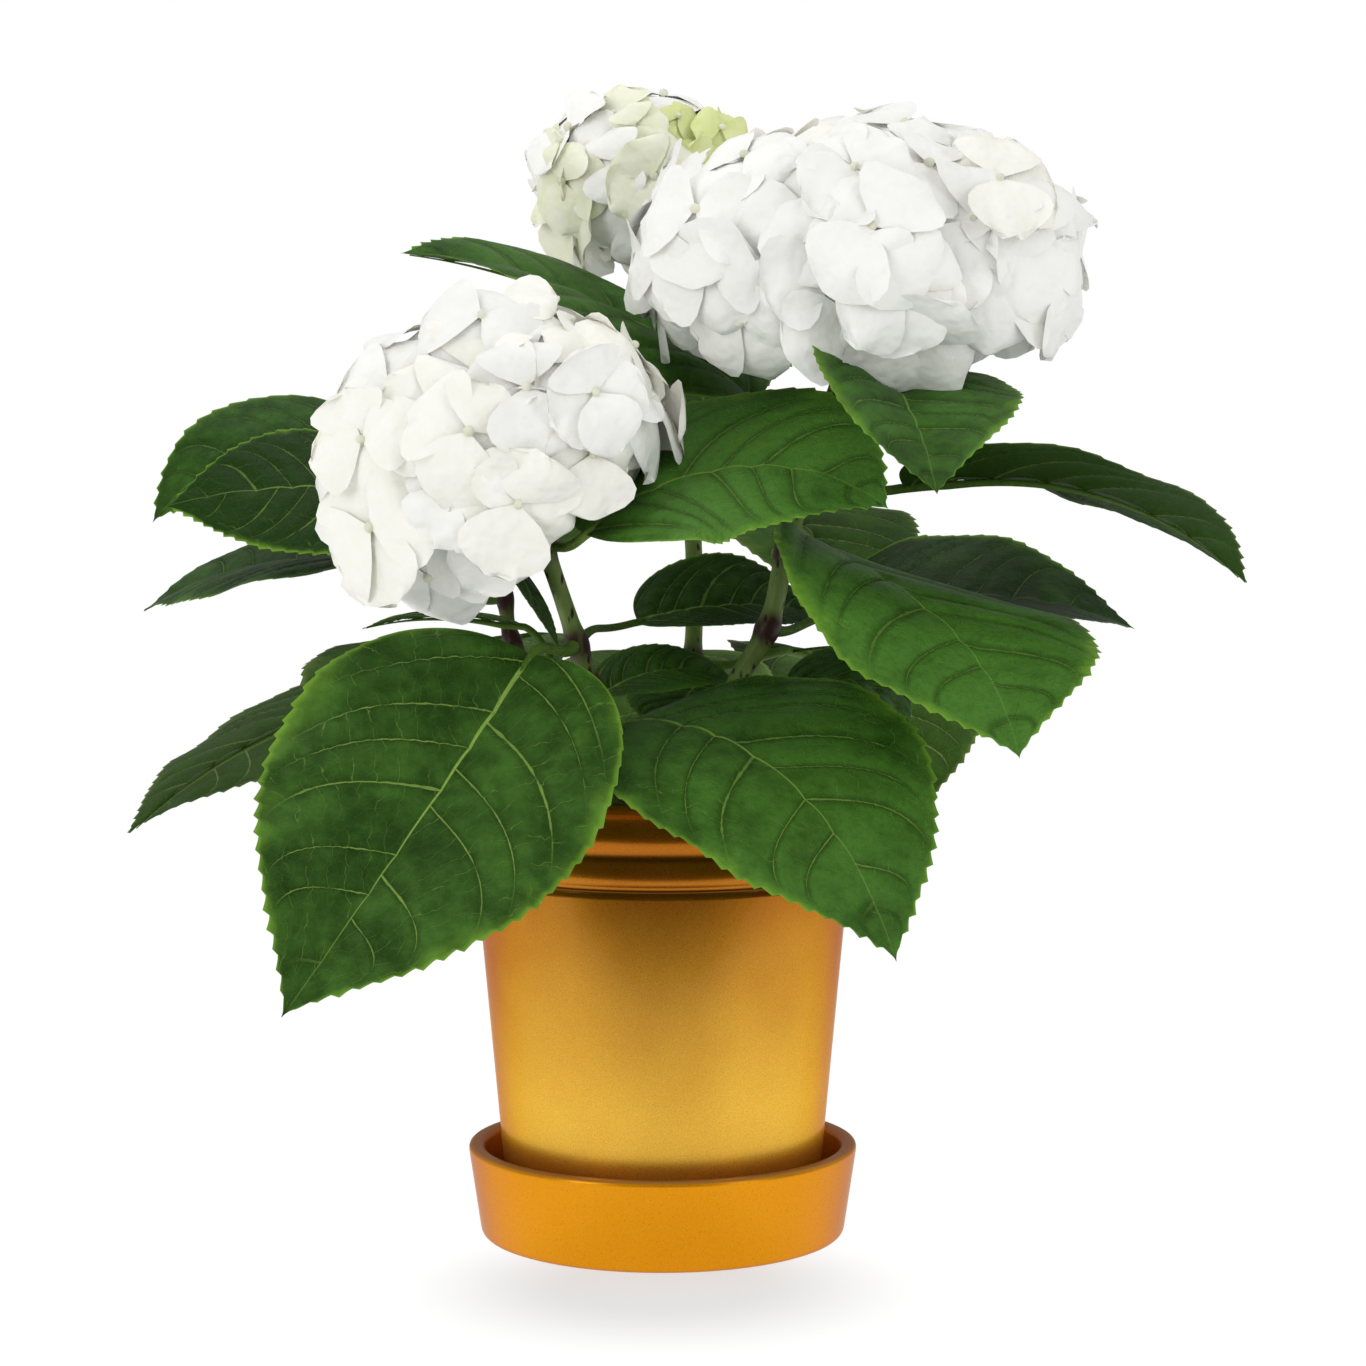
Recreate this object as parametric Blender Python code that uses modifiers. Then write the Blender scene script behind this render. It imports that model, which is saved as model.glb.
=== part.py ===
"""Hydrangea shrub growing in a glazed pot that stands in its saucer.

Metres, +Z up. The origin is the middle of the saucer's flat underside, the face that the
whole plant stands on. +X points to the right of the plant's front and +Y to its back.

Four stems rise from the compost. Leaves sit on the stems' joints, each with a stalk that
runs on under the blade as its midrib, and three of the stems end in a flower head. Every
leaf, stem and flower head is one closed solid, about 0.3 mm clear of what carries it.
"""

import math
from typing import NamedTuple

import bmesh
import bpy
import numpy as np
from mathutils import Vector

MM = 0.001
CLEAR = 0.3 * MM                  # gap between two pieces that touch

# Saucer and pot, thrown and glazed
ROUND_STEPS = 28
SAUCER_FOOT_RADIUS = 73.0 * MM
SAUCER_RIM_RADIUS = 78.5 * MM
SAUCER_HEIGHT = 37.0 * MM
SAUCER_WALL = 6.5 * MM
SAUCER_FLOOR = 6.0 * MM
POT_FOOT_RADIUS = 62.0 * MM
POT_NECK_RADIUS = 74.8 * MM       # top of the plain wall, under the collar
POT_NECK_HEIGHT = 146.0 * MM      # above the table
POT_RIM_HEIGHT = 182.0 * MM
POT_WALL = 6.0 * MM
POT_FLOOR = 7.0 * MM
DRAIN_RADIUS = 8.0 * MM
COLLAR_RADIUS = 76.2 * MM         # mean radius of the ringed collar
RING_DEPTH = 0.8 * MM             # how far each ring stands out from the mean
RING_PITCH = 14.5 * MM
RING_PEAK_HEIGHT = 154.0 * MM     # lowest ring
COMPOST_HEIGHT = 163.0 * MM       # level of the compost, 19 mm below the rim

# Stems, leaves and flowers
STALK_RADIUS = 2.1 * MM
RIB_TIP_RADIUS = 0.9 * MM
RIB_REACH = 0.55                  # how far the midrib runs under the blade
BLADE_THICKNESS = 0.011           # of the blade's length
BLADE_STEPS_ALONG = 8
BLADE_STEPS_ACROSS = 4
BLADE_STEP_EASE = 1.25            # packs the steps towards the foot, where the outline turns
STALK_BEND = 0.35                 # how far its two ends steer the stalk, share of its reach
JOINT_SWELL = 0.35                # how much thicker a stem is at a leaf joint
JOINT_SPREAD = 5.0 * MM           # half length of that swelling along the stem
STEM_STEP = 18.0 * MM
FLORET_LAYERS = (0.97, 0.88, 0.79)   # florets sit at three depths, shares of the radii
FLORET_THICKNESS = 1.0 * MM
PETAL_ANGLES = (-45, -20, 20)     # notch, first shoulder, second shoulder, degrees
PETAL_REACH = (0.62, 1.0, 1.0)    # their distances from the middle, shares of the radius
PETAL_DROP = (0.05, 0.18, 0.18)   # how far they bend back, shares of the radius
FLORET_STALK_RADIUS = 1.3 * MM
FLORET_STALK_START = 0.45         # share of the way from the head's centre to the floret
HEAD_STALK_RADIUS = 2.7 * MM
CORE_SHARE = 0.56                 # the core's size as a share of the head's
GOLDEN_ANGLE = math.pi * (3.0 - math.sqrt(5.0))


class Stem(NamedTuple):
    """One stem: a smooth path through a few points, thinning from foot to tip."""
    name: str
    foot_radius: float            # mm
    tip_radius: float             # mm
    path: tuple                   # points from foot to tip, mm


class Leaf(NamedTuple):
    """One leaf: where its stalk leaves the stem and how its blade lies. mm and degrees."""
    name: str
    stem: str
    joint: float                  # height of its joint on the stem
    foot: tuple                   # point where the stalk becomes the blade
    heading: float                # compass direction of the blade at its foot, 0 = +X
    rise: float                   # slope of the blade at its foot, up is positive
    droop: float                  # how much that slope falls by the tip
    swing: float                  # how much the heading turns by the tip
    roll: float                   # bank of the blade at its foot
    twist: float                  # how much the bank turns by the tip
    fold: float                   # each half is lifted by this angle from the midrib
    cup: float                    # how far the margins curl down, share of half width
    length: float
    width: float


class Bloom(NamedTuple):
    """One mophead: a dome of four-petalled florets round a smaller core. mm and degrees."""
    name: str
    stem: str
    centre: tuple
    radii: tuple                  # half sizes along X, Y and Z
    lean: tuple                   # direction in which the dome faces
    florets: int
    floret_radius: float
    wrap: float                   # angle from the dome's top to its lowest florets


STEMS = (
    Stem("stem_left", 4.2, 3.3,
         ((-11, -9, 166), (-15, -11, 180), (-29, -20, 225), (-35, -24, 245),
          (-46, -34, 279), (-50, -38, 286))),
    Stem("stem_right", 4.4, 3.4,
         ((10, 1, 166), (12, 1, 180), (29, 2, 221), (42, 2, 244), (49, 0, 274),
          (61, -4, 319), (72, -8, 345), (76, -9, 356))),
    Stem("stem_back", 4.0, 3.0,
         ((7, 24, 166), (8, 32, 182), (12, 58, 225), (13, 72, 262), (10, 86, 310),
          (2, 98, 360), (-1, 104, 394))),
    Stem("stem_back_left", 3.4, 2.4,
         ((-16, 9, 166), (-21, 10, 180), (-57, 17, 230), (-64, 18, 256),
          (-68, 20, 290), (-70, 22, 306))),
)

LEAVES = (
    # front of the plant, low
    Leaf("leaf_front_left", "stem_left", 240, (-50, -54, 237), -124, -40, 2, -7, -20, -20,
         18, 0.13, 185, 134),
    Leaf("leaf_front_right", "stem_left", 205, (-13, -27, 209), -43, 7, 75, 0, 12, 9,
         3, 0.0, 170, 132),
    Leaf("leaf_left_low", "stem_back_left", 214, (-98, 12, 219), 151, -8, 35, 12, 17, -9,
         0, 0.13, 156, 99),
    Leaf("leaf_right_low", "stem_right", 205, (50, 25, 216), -18, 34, 96, -8, 22, -30,
         8, 0.08, 62, 76),
    # middle
    Leaf("leaf_right_front", "stem_right", 276, (54, -10, 280), -33, -17, 18, -53, -19, 34,
         7, 0.1, 170, 129),
    Leaf("leaf_right_back", "stem_right", 244, (70, 37, 248), -5, 15, 37, 26, 6, 17,
         11, 0.0, 131, 122),
    Leaf("leaf_left_mid", "stem_back_left", 256, (-102, 22, 269), 151, 6, 31, 0, -3, -24,
         12, 0.2, 140, 100),
    Leaf("leaf_left_small", "stem_left", 222, (-56, -12, 246), 180, 14, 30, 0, 6, 0,
         8, 0.1, 64, 46),
    Leaf("leaf_inner_upper", "stem_left", 240, (-10, 30, 245), 12, 16, 30, 0, 18, 18,
         14, 0.0, 80, 62),
    Leaf("leaf_inner_lower", "stem_left", 205, (-24, 6, 217), 20, 33, 60, 0, 14, 10,
         12, 0.1, 60, 48),
    Leaf("leaf_inner_pale", "stem_back", 226, (15, 43, 219), -112, -14, 28, 0, 0, 0,
         8, 0.0, 42, 50),
    Leaf("leaf_inner_hanging", "stem_left", 279, (-68, -42, 284), -12, -48, 18, 0, -6, 6,
         4, 0.05, 54, 34),
    # upper
    Leaf("leaf_centre", "stem_left", 279, (-29, -60, 284), 18, 41, 72, -60, 17, 27,
         6, 0.05, 131, 116),
    Leaf("leaf_left", "stem_left", 279, (-92, -4, 298), -167, 8, 21, -17, -28, -24,
         0, 0.05, 106, 77),
    Leaf("leaf_left_high", "stem_back_left", 292, (-96, 46, 291), 178, 48, 102, 13, -17, -27,
         9, 0.13, 130, 90),
    Leaf("leaf_far_right", "stem_right", 304, (97, 11, 300), -12, 13, 57, 33, -10, 3,
         8, 0.03, 153, 109),
    Leaf("leaf_under_bloom", "stem_right", 344, (86, -18, 347), -78, -16, 16, -8, -20, 25,
         21, 0.0, 115, 87),
    Leaf("leaf_upper_left", "stem_right", 322, (37, 38, 334), 171, 40, 36, 39, -17, 0,
         20, 0.4, 162, 114),
    # back of the plant
    Leaf("leaf_back_low_right", "stem_back", 226, (53, 76, 230), 56, -4, 66, 6, 0, 0,
         10, 0.1, 150, 112),
    Leaf("leaf_back_low_left", "stem_back_left", 238, (-74, 56, 234), 112, 0, 70, 0, 0, 0,
         10, 0.1, 165, 118),
    Leaf("leaf_back_low", "stem_back", 226, (0, 92, 226), 92, -10, 60, 0, 0, 0,
         10, 0.1, 140, 100),
    Leaf("leaf_back_left", "stem_back", 284, (-16, 104, 290), 122, 14, 66, -10, 0, 0,
         10, 0.1, 145, 106),
    Leaf("leaf_back_right", "stem_back", 284, (34, 108, 286), 62, 8, 66, 6, 0, 0,
         10, 0.1, 145, 106),
    Leaf("leaf_back_high", "stem_back", 346, (8, 122, 350), 84, 14, 60, 0, 0, 0,
         10, 0.1, 125, 92),
)

BLOOMS = (
    Bloom("bloom_left", "stem_left", (-61, -52, 319), (75, 62, 60), (-0.25, -0.45, 0.85),
          24, 20, 130),
    Bloom("bloom_right", "stem_right", (78, -10, 393), (96, 80, 54), (0.05, -0.15, 1.0),
          28, 23, 126),
    Bloom("bloom_back", "stem_back", (-4, 112, 427), (57, 52, 42), (-0.1, 0.1, 1.0),
          16, 18, 122),
)

STEM_BY_NAME = {stem.name: stem for stem in STEMS}


def clear_scene():
    """Remove everything that the new file starts with."""
    for thing in list(bpy.data.objects):
        bpy.data.objects.remove(thing)


def new_collection(name):
    collection = bpy.data.collections.new(name)
    bpy.context.scene.collection.children.link(collection)
    return collection


def new_material(name, colour, roughness):
    """A Principled material of one colour."""
    material = bpy.data.materials.new(name)
    material.use_nodes = True
    shader = material.node_tree.nodes["Principled BSDF"]
    shader.inputs["Base Color"].default_value = (*colour, 1.0)
    shader.inputs["Roughness"].default_value = roughness
    shader.inputs["Metallic"].default_value = 0.0
    return material


def add_object(name, mesh, collection, material=None):
    thing = bpy.data.objects.new(name, mesh)
    collection.objects.link(thing)
    if material is not None:
        mesh.materials.clear()
        mesh.materials.append(material)
    return thing


# Turned pieces ---------------------------------------------------------------------

def turned(name, profile, closed, material, collection):
    """Turn a profile of (radius, height) points round Z with a Screw modifier.

    The points run down the outer side and back up the inner one, so the faces point out.
    """
    points = [(radius, 0.0, height) for radius, height in profile]
    edges = [(i, i + 1) for i in range(len(points) - 1)]
    if closed:
        edges.append((len(points) - 1, 0))
    mesh = bpy.data.meshes.new(name)
    mesh.from_pydata(points, edges, [])
    thing = add_object(name, mesh, collection, material)
    screw = thing.modifiers.new("turn", "SCREW")
    screw.steps = ROUND_STEPS
    screw.render_steps = ROUND_STEPS
    screw.use_merge_vertices = True
    screw.merge_threshold = 0.00001
    screw.use_smooth_shade = True
    return thing


def quarter_round(centre, radius, start, end, steps):
    """Points of an arc in the profile's plane, angles in degrees."""
    angles = np.radians(np.linspace(start, end, steps))
    return [(centre[0] + radius * math.cos(a), centre[1] + radius * math.sin(a)) for a in angles]


def saucer_profile():
    lip = SAUCER_WALL / 2
    rim = quarter_round((SAUCER_RIM_RADIUS - lip, SAUCER_HEIGHT - lip), lip, 180, 0, 7)
    foot = quarter_round((SAUCER_FOOT_RADIUS - 4 * MM, 4 * MM), 4 * MM, 0, -90, 4)
    inner_foot = SAUCER_FOOT_RADIUS - SAUCER_WALL
    floor = [(0.0, SAUCER_FLOOR), (inner_foot - 3 * MM, SAUCER_FLOOR),
             (inner_foot, SAUCER_FLOOR + 3 * MM)]
    return floor + rim + foot + [(0.0, 0.0)]


def collar_radius(height):
    """The collar's rings: a cosine of the height about the mean radius."""
    phase = 2 * math.pi * (height - RING_PEAK_HEIGHT) / RING_PITCH
    return COLLAR_RADIUS + RING_DEPTH * math.cos(phase)


def pot_wall_radius(height):
    """Radius of the plain tapered wall at a height above the table."""
    foot = SAUCER_FLOOR + CLEAR
    share = (height - foot) / (POT_NECK_HEIGHT - foot)
    return POT_FOOT_RADIUS + share * (POT_NECK_RADIUS - POT_FOOT_RADIUS)


def pot_profile():
    foot = SAUCER_FLOOR + CLEAR
    floor = foot + POT_FLOOR
    lip = POT_WALL / 2
    inside = [(DRAIN_RADIUS, floor), (pot_wall_radius(floor) - POT_WALL, floor),
              (POT_NECK_RADIUS - POT_WALL, POT_NECK_HEIGHT)]
    rim_centre = (COLLAR_RADIUS + RING_DEPTH - lip, POT_RIM_HEIGHT - lip)
    rim = quarter_round(rim_centre, lip, 180, 0, 5)
    heights = np.linspace(POT_RIM_HEIGHT - 6 * MM, POT_NECK_HEIGHT + 4.5 * MM, 9)
    collar = [(collar_radius(height), float(height)) for height in heights]
    groove = [(POT_NECK_RADIUS - 0.9 * MM, POT_NECK_HEIGHT + 2 * MM)]
    outside = [(POT_NECK_RADIUS, POT_NECK_HEIGHT), (POT_FOOT_RADIUS, foot), (DRAIN_RADIUS, foot)]
    return inside + rim + collar + groove + outside


def compost_profile():
    """A plug that fills the pot to a clear gap, slightly mounded on top."""
    base = SAUCER_FLOOR + CLEAR + POT_FLOOR + CLEAR
    gap = 2 * CLEAR
    neck_inner = POT_NECK_RADIUS - POT_WALL
    side = [(neck_inner - gap, POT_NECK_HEIGHT), (pot_wall_radius(base) - POT_WALL - gap, base)]
    top = [(0.0, COMPOST_HEIGHT), (46 * MM, COMPOST_HEIGHT),
           (neck_inner - gap - 4 * MM, COMPOST_HEIGHT - 5 * MM)]
    return top + side + [(0.0, base)]


# Tubes and paths ---------------------------------------------------------------------

def smooth_path(points, per_span):
    """Catmull-Rom curve through the points, sampled evenly in each span."""
    points = np.array(points, dtype=float) * MM
    ends = np.vstack([2 * points[0] - points[1], points, 2 * points[-1] - points[-2]])
    samples = []
    for i in range(1, len(ends) - 2):
        before, start, end, after = ends[i - 1:i + 3]
        for t in np.linspace(0, 1, per_span, endpoint=False):
            samples.append(0.5 * (2 * start + (end - before) * t
                                  + (2 * before - 5 * start + 4 * end - after) * t ** 2
                                  + (3 * start - 3 * end + after - before) * t ** 3))
    samples.append(points[-1])
    return np.array(samples)


def tube_mesh(name, points, radii, bevel_resolution):
    """A tube along a poly spline with flat caps, turned into a welded mesh."""
    curve = bpy.data.curves.new(name, "CURVE")
    curve.dimensions = "3D"
    curve.bevel_depth = 1.0
    curve.bevel_resolution = bevel_resolution
    curve.use_fill_caps = True
    spline = curve.splines.new("POLY")
    spline.points.add(len(points) - 1)
    for knot, point, radius in zip(spline.points, points, radii):
        knot.co = (*point, 1.0)
        knot.radius = radius
    guide = bpy.data.objects.new(name, curve)
    bpy.context.scene.collection.objects.link(guide)
    evaluated = guide.evaluated_get(bpy.context.evaluated_depsgraph_get())
    mesh = bpy.data.meshes.new_from_object(evaluated)
    bpy.data.objects.remove(guide)
    bpy.data.curves.remove(curve)
    weld_mesh(mesh)
    return mesh


def weld_mesh(mesh):
    """Merge doubled points and turn all faces outwards."""
    shape = bmesh.new()
    shape.from_mesh(mesh)
    bmesh.ops.remove_doubles(shape, verts=shape.verts, dist=0.00001)
    bmesh.ops.recalc_face_normals(shape, faces=shape.faces)
    shape.to_mesh(mesh)
    shape.free()


def fused(name, first, others, solver, material, collection):
    """Union of an object with a collection of others, as one mesh in one object."""
    operands = new_collection(name + "_operands")
    for other in others:
        operands.objects.link(other)
    union = first.modifiers.new("union", "BOOLEAN")
    union.operation = "UNION"
    union.operand_type = "COLLECTION"
    union.collection = operands
    union.solver = solver
    evaluated = first.evaluated_get(bpy.context.evaluated_depsgraph_get())
    mesh = bpy.data.meshes.new_from_object(evaluated)
    for piece in (first, *others):
        bpy.data.objects.remove(piece)
    bpy.data.collections.remove(operands)
    mesh.shade_smooth()
    mesh.set_sharp_from_angle(angle=math.radians(50))
    return add_object(name, mesh, collection, material)


def applied(thing):
    """The object's mesh as its modifiers leave it, on the same object."""
    evaluated = thing.evaluated_get(bpy.context.evaluated_depsgraph_get())
    mesh = bpy.data.meshes.new_from_object(evaluated)
    thing.modifiers.clear()
    thing.data = mesh
    return thing


# Stems -----------------------------------------------------------------------------

def joint_heights(stem):
    return sorted({leaf.joint * MM for leaf in LEAVES if leaf.stem == stem.name})


def stem_point(stem, heights):
    """Centre line of the stem at the given heights. A stem never turns back down."""
    curve = smooth_path(stem.path, 8)
    return np.stack([np.interp(heights, curve[:, 2], curve[:, i]) for i in range(3)], axis=-1)


def stem_radius(stem, heights):
    """An even taper from foot to tip, swollen at each leaf joint."""
    low, high = stem.path[0][2] * MM, stem.path[-1][2] * MM
    share = np.clip((heights - low) / (high - low), 0, 1)
    radii = (stem.foot_radius + (stem.tip_radius - stem.foot_radius) * share) * MM
    swell = sum(np.exp(-((heights - joint) / JOINT_SPREAD) ** 2) for joint in joint_heights(stem))
    return radii * (1 + JOINT_SWELL * np.minimum(swell, 1))


def stem_at(stem, height):
    """Centre, direction and radius of the stem at a height."""
    below, centre, above = stem_point(stem, height + np.array([-2, 0, 2]) * MM)
    radius = float(stem_radius(stem, np.array([height]))[0])
    return Vector(centre), Vector(above - below).normalized(), radius


def stem_line(stem):
    """Points for the tube: even steps, with three more round each joint and a level foot."""
    low, high = stem.path[0][2] * MM, stem.path[-1][2] * MM
    heights = set(np.linspace(low, high, 2 + round((high - low) / STEM_STEP)))
    for joint in joint_heights(stem):
        heights = {height for height in heights if abs(height - joint) > 1.6 * JOINT_SPREAD}
        heights |= {joint - JOINT_SPREAD, joint, joint + JOINT_SPREAD}
    heights = np.array(sorted(height for height in heights | {low, high} if height <= high))
    points = stem_point(stem, heights)
    foot = points[0].copy()
    foot[2] = COMPOST_HEIGHT + CLEAR
    radii = stem_radius(stem, heights)
    return np.vstack([foot, points]), np.concatenate([radii[:1], radii])


def make_stem(stem, material, collection):
    points, radii = stem_line(stem)
    mesh = tube_mesh(stem.name, points, radii, 1)
    mesh.shade_smooth()
    return add_object(stem.name, mesh, collection, material)


# Leaves ----------------------------------------------------------------------------

def outline(s):
    """Half width of a blade along its length, 0 to 1: round foot, drawn-out tip."""
    return np.sin(np.pi * s ** 0.72) ** 0.55 * (1 - s ** 6)


def blade_frame(leaf, s):
    """Midrib points with their forward, sideways and upward directions at shares s."""
    fine = np.linspace(0, 1, 81)
    heading = np.radians(leaf.heading + leaf.swing * fine)
    slope = np.radians(leaf.rise - leaf.droop * fine)
    forward = np.stack([np.cos(slope) * np.cos(heading),
                        np.cos(slope) * np.sin(heading), np.sin(slope)], axis=-1)
    steps = (forward[1:] + forward[:-1]) / 2 * (leaf.length * MM / 80)
    rib = np.vstack([np.zeros(3), np.cumsum(steps, axis=0)]) + np.array(leaf.foot) * MM
    level = np.stack([-np.sin(heading), np.cos(heading), 0 * heading], axis=-1)
    bank = np.radians(leaf.roll + leaf.twist * fine)[:, None]
    square = np.cross(forward, level)
    side = level * np.cos(bank) + square * np.sin(bank)
    up = square * np.cos(bank) - level * np.sin(bank)

    def sample(values):
        return np.stack([np.interp(s, fine, values[:, i]) for i in range(3)], axis=-1)

    return sample(rib), sample(forward), sample(side), sample(up)


def blade_points(leaf, s, t):
    """Points of the blade at shares s along it and t across it (-1 to 1).

    Each half leaves the midrib at the fold angle and curls down towards its margin.
    """
    rib, _, side, up = blade_frame(leaf, s)
    half = leaf.width * MM / 2
    reach = t * half * outline(s)
    fold = math.radians(leaf.fold)
    lift = np.abs(reach) * math.sin(fold) - leaf.cup * reach ** 2 / half
    return rib + (reach * math.cos(fold))[:, None] * side + lift[:, None] * up


def make_blade(leaf):
    """The blade as a bent grid with a thickness."""
    shape = bmesh.new()
    bmesh.ops.create_grid(shape, x_segments=BLADE_STEPS_ALONG, y_segments=BLADE_STEPS_ACROSS,
                          size=1.0)
    grid = np.array([vertex.co for vertex in shape.verts])
    share = (grid[:, 0] + 1) / 2
    eased = share ** BLADE_STEP_EASE
    points = blade_points(leaf, eased, grid[:, 1])
    for vertex, point in zip(shape.verts, points):
        vertex.co = point
    bmesh.ops.remove_doubles(shape, verts=shape.verts, dist=0.00001)
    mesh = bpy.data.meshes.new(leaf.name + "_blade")
    shape.to_mesh(mesh)
    shape.free()
    blade = add_object(leaf.name + "_blade", mesh, bpy.context.scene.collection)
    skin = blade.modifiers.new("thickness", "SOLIDIFY")
    skin.thickness = leaf.length * MM * BLADE_THICKNESS
    skin.offset = 0.0
    return applied(blade)


def stalk_points(leaf):
    """Centre line of the stalk and midrib: out of the joint, a smooth bend to the blade's
    foot, then along the blade's underside."""
    stem = STEM_BY_NAME[leaf.stem]
    centre, along, radius = stem_at(stem, leaf.joint * MM)
    foot = Vector(leaf.foot) * MM
    out = foot - centre
    out = (out - along * out.dot(along)).normalized()
    start = centre + out * (radius + CLEAR)
    _, forward, _, _ = blade_frame(leaf, np.array([0.0]))
    reach = (foot - start).length
    corners = (start + out * 2 * MM, start + out * reach * STALK_BEND,
               foot - Vector(forward[0]) * reach * STALK_BEND, foot)
    bend = [start]
    for t in np.linspace(0, 1, 5)[:-1]:
        bend.append(corners[0] * (1 - t) ** 3 + corners[1] * 3 * t * (1 - t) ** 2
                    + corners[2] * 3 * t ** 2 * (1 - t) + corners[3] * t ** 3)
    shares = np.linspace(0.03, RIB_REACH, 4)
    rib, _, _, up = blade_frame(leaf, shares)
    sink = leaf.length * MM * BLADE_THICKNESS / 2
    under = [Vector(point - normal * sink) for point, normal in zip(rib, up)]
    return bend + under


def make_leaf(leaf, material, collection):
    points = stalk_points(leaf)
    bend = [STALK_RADIUS] * (len(points) - 4)
    radii = bend + list(np.linspace(STALK_RADIUS, RIB_TIP_RADIUS, 4))
    stalk = bpy.data.objects.new(leaf.name + "_stalk",
                                 tube_mesh(leaf.name + "_stalk", points, radii, 0))
    return fused(leaf.name, make_blade(leaf), [stalk], "EXACT", material, collection)


# Flower heads ----------------------------------------------------------------------

def bloom_axes(bloom):
    """Three square directions, the last one the way the dome faces."""
    facing = np.array(bloom.lean, dtype=float)
    facing /= np.linalg.norm(facing)
    side = np.cross((0.0, 1.0, 0.0), facing)
    side /= np.linalg.norm(side)
    return side, np.cross(facing, side), facing


def neighbour_points():
    """Points all over the blades and along the stems, which no floret may touch."""
    s, t = np.meshgrid(np.linspace(0, 1, 15), np.linspace(-1, 1, 9))
    blades = [blade_points(leaf, s.ravel(), t.ravel()) for leaf in LEAVES]
    stems = [stem_line(stem)[0] for stem in STEMS]
    return np.vstack(blades + stems)


def floret_seats(bloom):
    """Centre and outward direction of each floret, spread by the golden angle.

    A floret that would touch a leaf or a stem is left out.
    """
    side, depth, facing = bloom_axes(bloom)
    radii = np.array(bloom.radii) * MM
    centre = np.array(bloom.centre) * MM
    others = neighbour_points()
    seats = []
    for i in range(bloom.florets):
        fall = 1 - (i + 0.5) / bloom.florets * (1 - math.cos(math.radians(bloom.wrap)))
        ring = math.sqrt(1 - fall ** 2)
        turn = i * GOLDEN_ANGLE
        way = side * ring * math.cos(turn) + depth * ring * math.sin(turn) + facing * fall
        spot = centre + way * radii * FLORET_LAYERS[i % 3]
        normal = way / radii
        near = np.linalg.norm(others - spot, axis=1).min()
        if near > bloom.floret_radius * MM:
            seats.append((spot, normal / np.linalg.norm(normal), turn))
    return seats


def make_floret(name, spot, normal, turn, radius):
    """Four broad petals as one thin plate, with two shoulders and a notch for each petal."""
    shape = bmesh.new()
    bmesh.ops.create_circle(shape, cap_ends=True, cap_tris=True, segments=12, radius=1.0)
    up = Vector(normal)
    level = up.orthogonal().normalized()
    across = up.cross(level)
    rim = [vertex for vertex in shape.verts if vertex.co.length > 0.5]
    rim.sort(key=lambda vertex: math.atan2(vertex.co.y, vertex.co.x))
    for vertex in shape.verts:
        vertex.co = Vector(spot)
    for i, vertex in enumerate(rim):
        petal, place = divmod(i, 3)
        angle = turn + math.radians(90 * petal + PETAL_ANGLES[place])
        reach = radius * PETAL_REACH[place]
        drop = radius * PETAL_DROP[place]
        vertex.co = (Vector(spot) + level * reach * math.cos(angle)
                     + across * reach * math.sin(angle) - up * drop)
    mesh = bpy.data.meshes.new(name)
    shape.to_mesh(mesh)
    shape.free()
    plate = add_object(name, mesh, bpy.context.scene.collection)
    skin = plate.modifiers.new("thickness", "SOLIDIFY")
    skin.thickness = FLORET_THICKNESS
    skin.offset = 0.0
    plate = applied(plate)
    bpy.context.scene.collection.objects.unlink(plate)
    return plate


def make_core(bloom):
    """The packed heart of the head, a little over half its size."""
    shape = bmesh.new()
    bmesh.ops.create_uvsphere(shape, u_segments=10, v_segments=7, radius=CORE_SHARE)
    for vertex in shape.verts:
        vertex.co = Vector([(c + r * v) * MM for c, r, v in
                            zip(bloom.centre, bloom.radii, vertex.co)])
    mesh = bpy.data.meshes.new(bloom.name + "_core")
    shape.to_mesh(mesh)
    shape.free()
    return add_object(bloom.name + "_core", mesh, bpy.context.scene.collection)


def make_bloom(bloom, material, collection):
    centre = Vector(bloom.centre) * MM
    pieces = []
    for i, (spot, normal, turn) in enumerate(floret_seats(bloom)):
        label = f"{bloom.name}_{i}"
        pieces.append(make_floret(label, spot, normal, turn, bloom.floret_radius * MM))
        root = centre.lerp(Vector(spot), FLORET_STALK_START)
        tip = Vector(spot) + Vector(normal) * 0.2 * MM
        stalk = tube_mesh(label + "_stalk", [root, tip], [FLORET_STALK_RADIUS] * 2, 0)
        pieces.append(bpy.data.objects.new(label + "_stalk", stalk))
    line, _ = stem_line(STEM_BY_NAME[bloom.stem])
    tip = Vector(line[-1])
    along = (tip - Vector(line[-2])).normalized()
    start = tip + along * CLEAR
    foot = tube_mesh(bloom.name + "_foot", [start, start + along * 5 * MM, centre],
                     [HEAD_STALK_RADIUS] * 3, 1)
    pieces.append(bpy.data.objects.new(bloom.name + "_foot", foot))
    return fused(bloom.name, make_core(bloom), pieces, "MANIFOLD", material, collection)


def build():
    clear_scene()
    parts = new_collection("hydrangea_shrub")
    glaze = new_material("ochre_glaze", (0.62, 0.30, 0.03), 0.15)
    soil = new_material("compost", (0.05, 0.03, 0.02), 0.95)
    bark = new_material("green_stem", (0.10, 0.16, 0.05), 0.5)
    green = new_material("leaf", (0.06, 0.16, 0.03), 0.45)
    white = new_material("petals", (0.85, 0.85, 0.82), 0.6)

    turned("saucer", saucer_profile(), False, glaze, parts)
    turned("pot", pot_profile(), True, glaze, parts)
    turned("compost", compost_profile(), False, soil, parts)
    for stem in STEMS:
        make_stem(stem, bark, parts)
    for leaf in LEAVES:
        make_leaf(leaf, green, parts)
    for bloom in BLOOMS:
        make_bloom(bloom, white, parts)


build()
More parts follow.
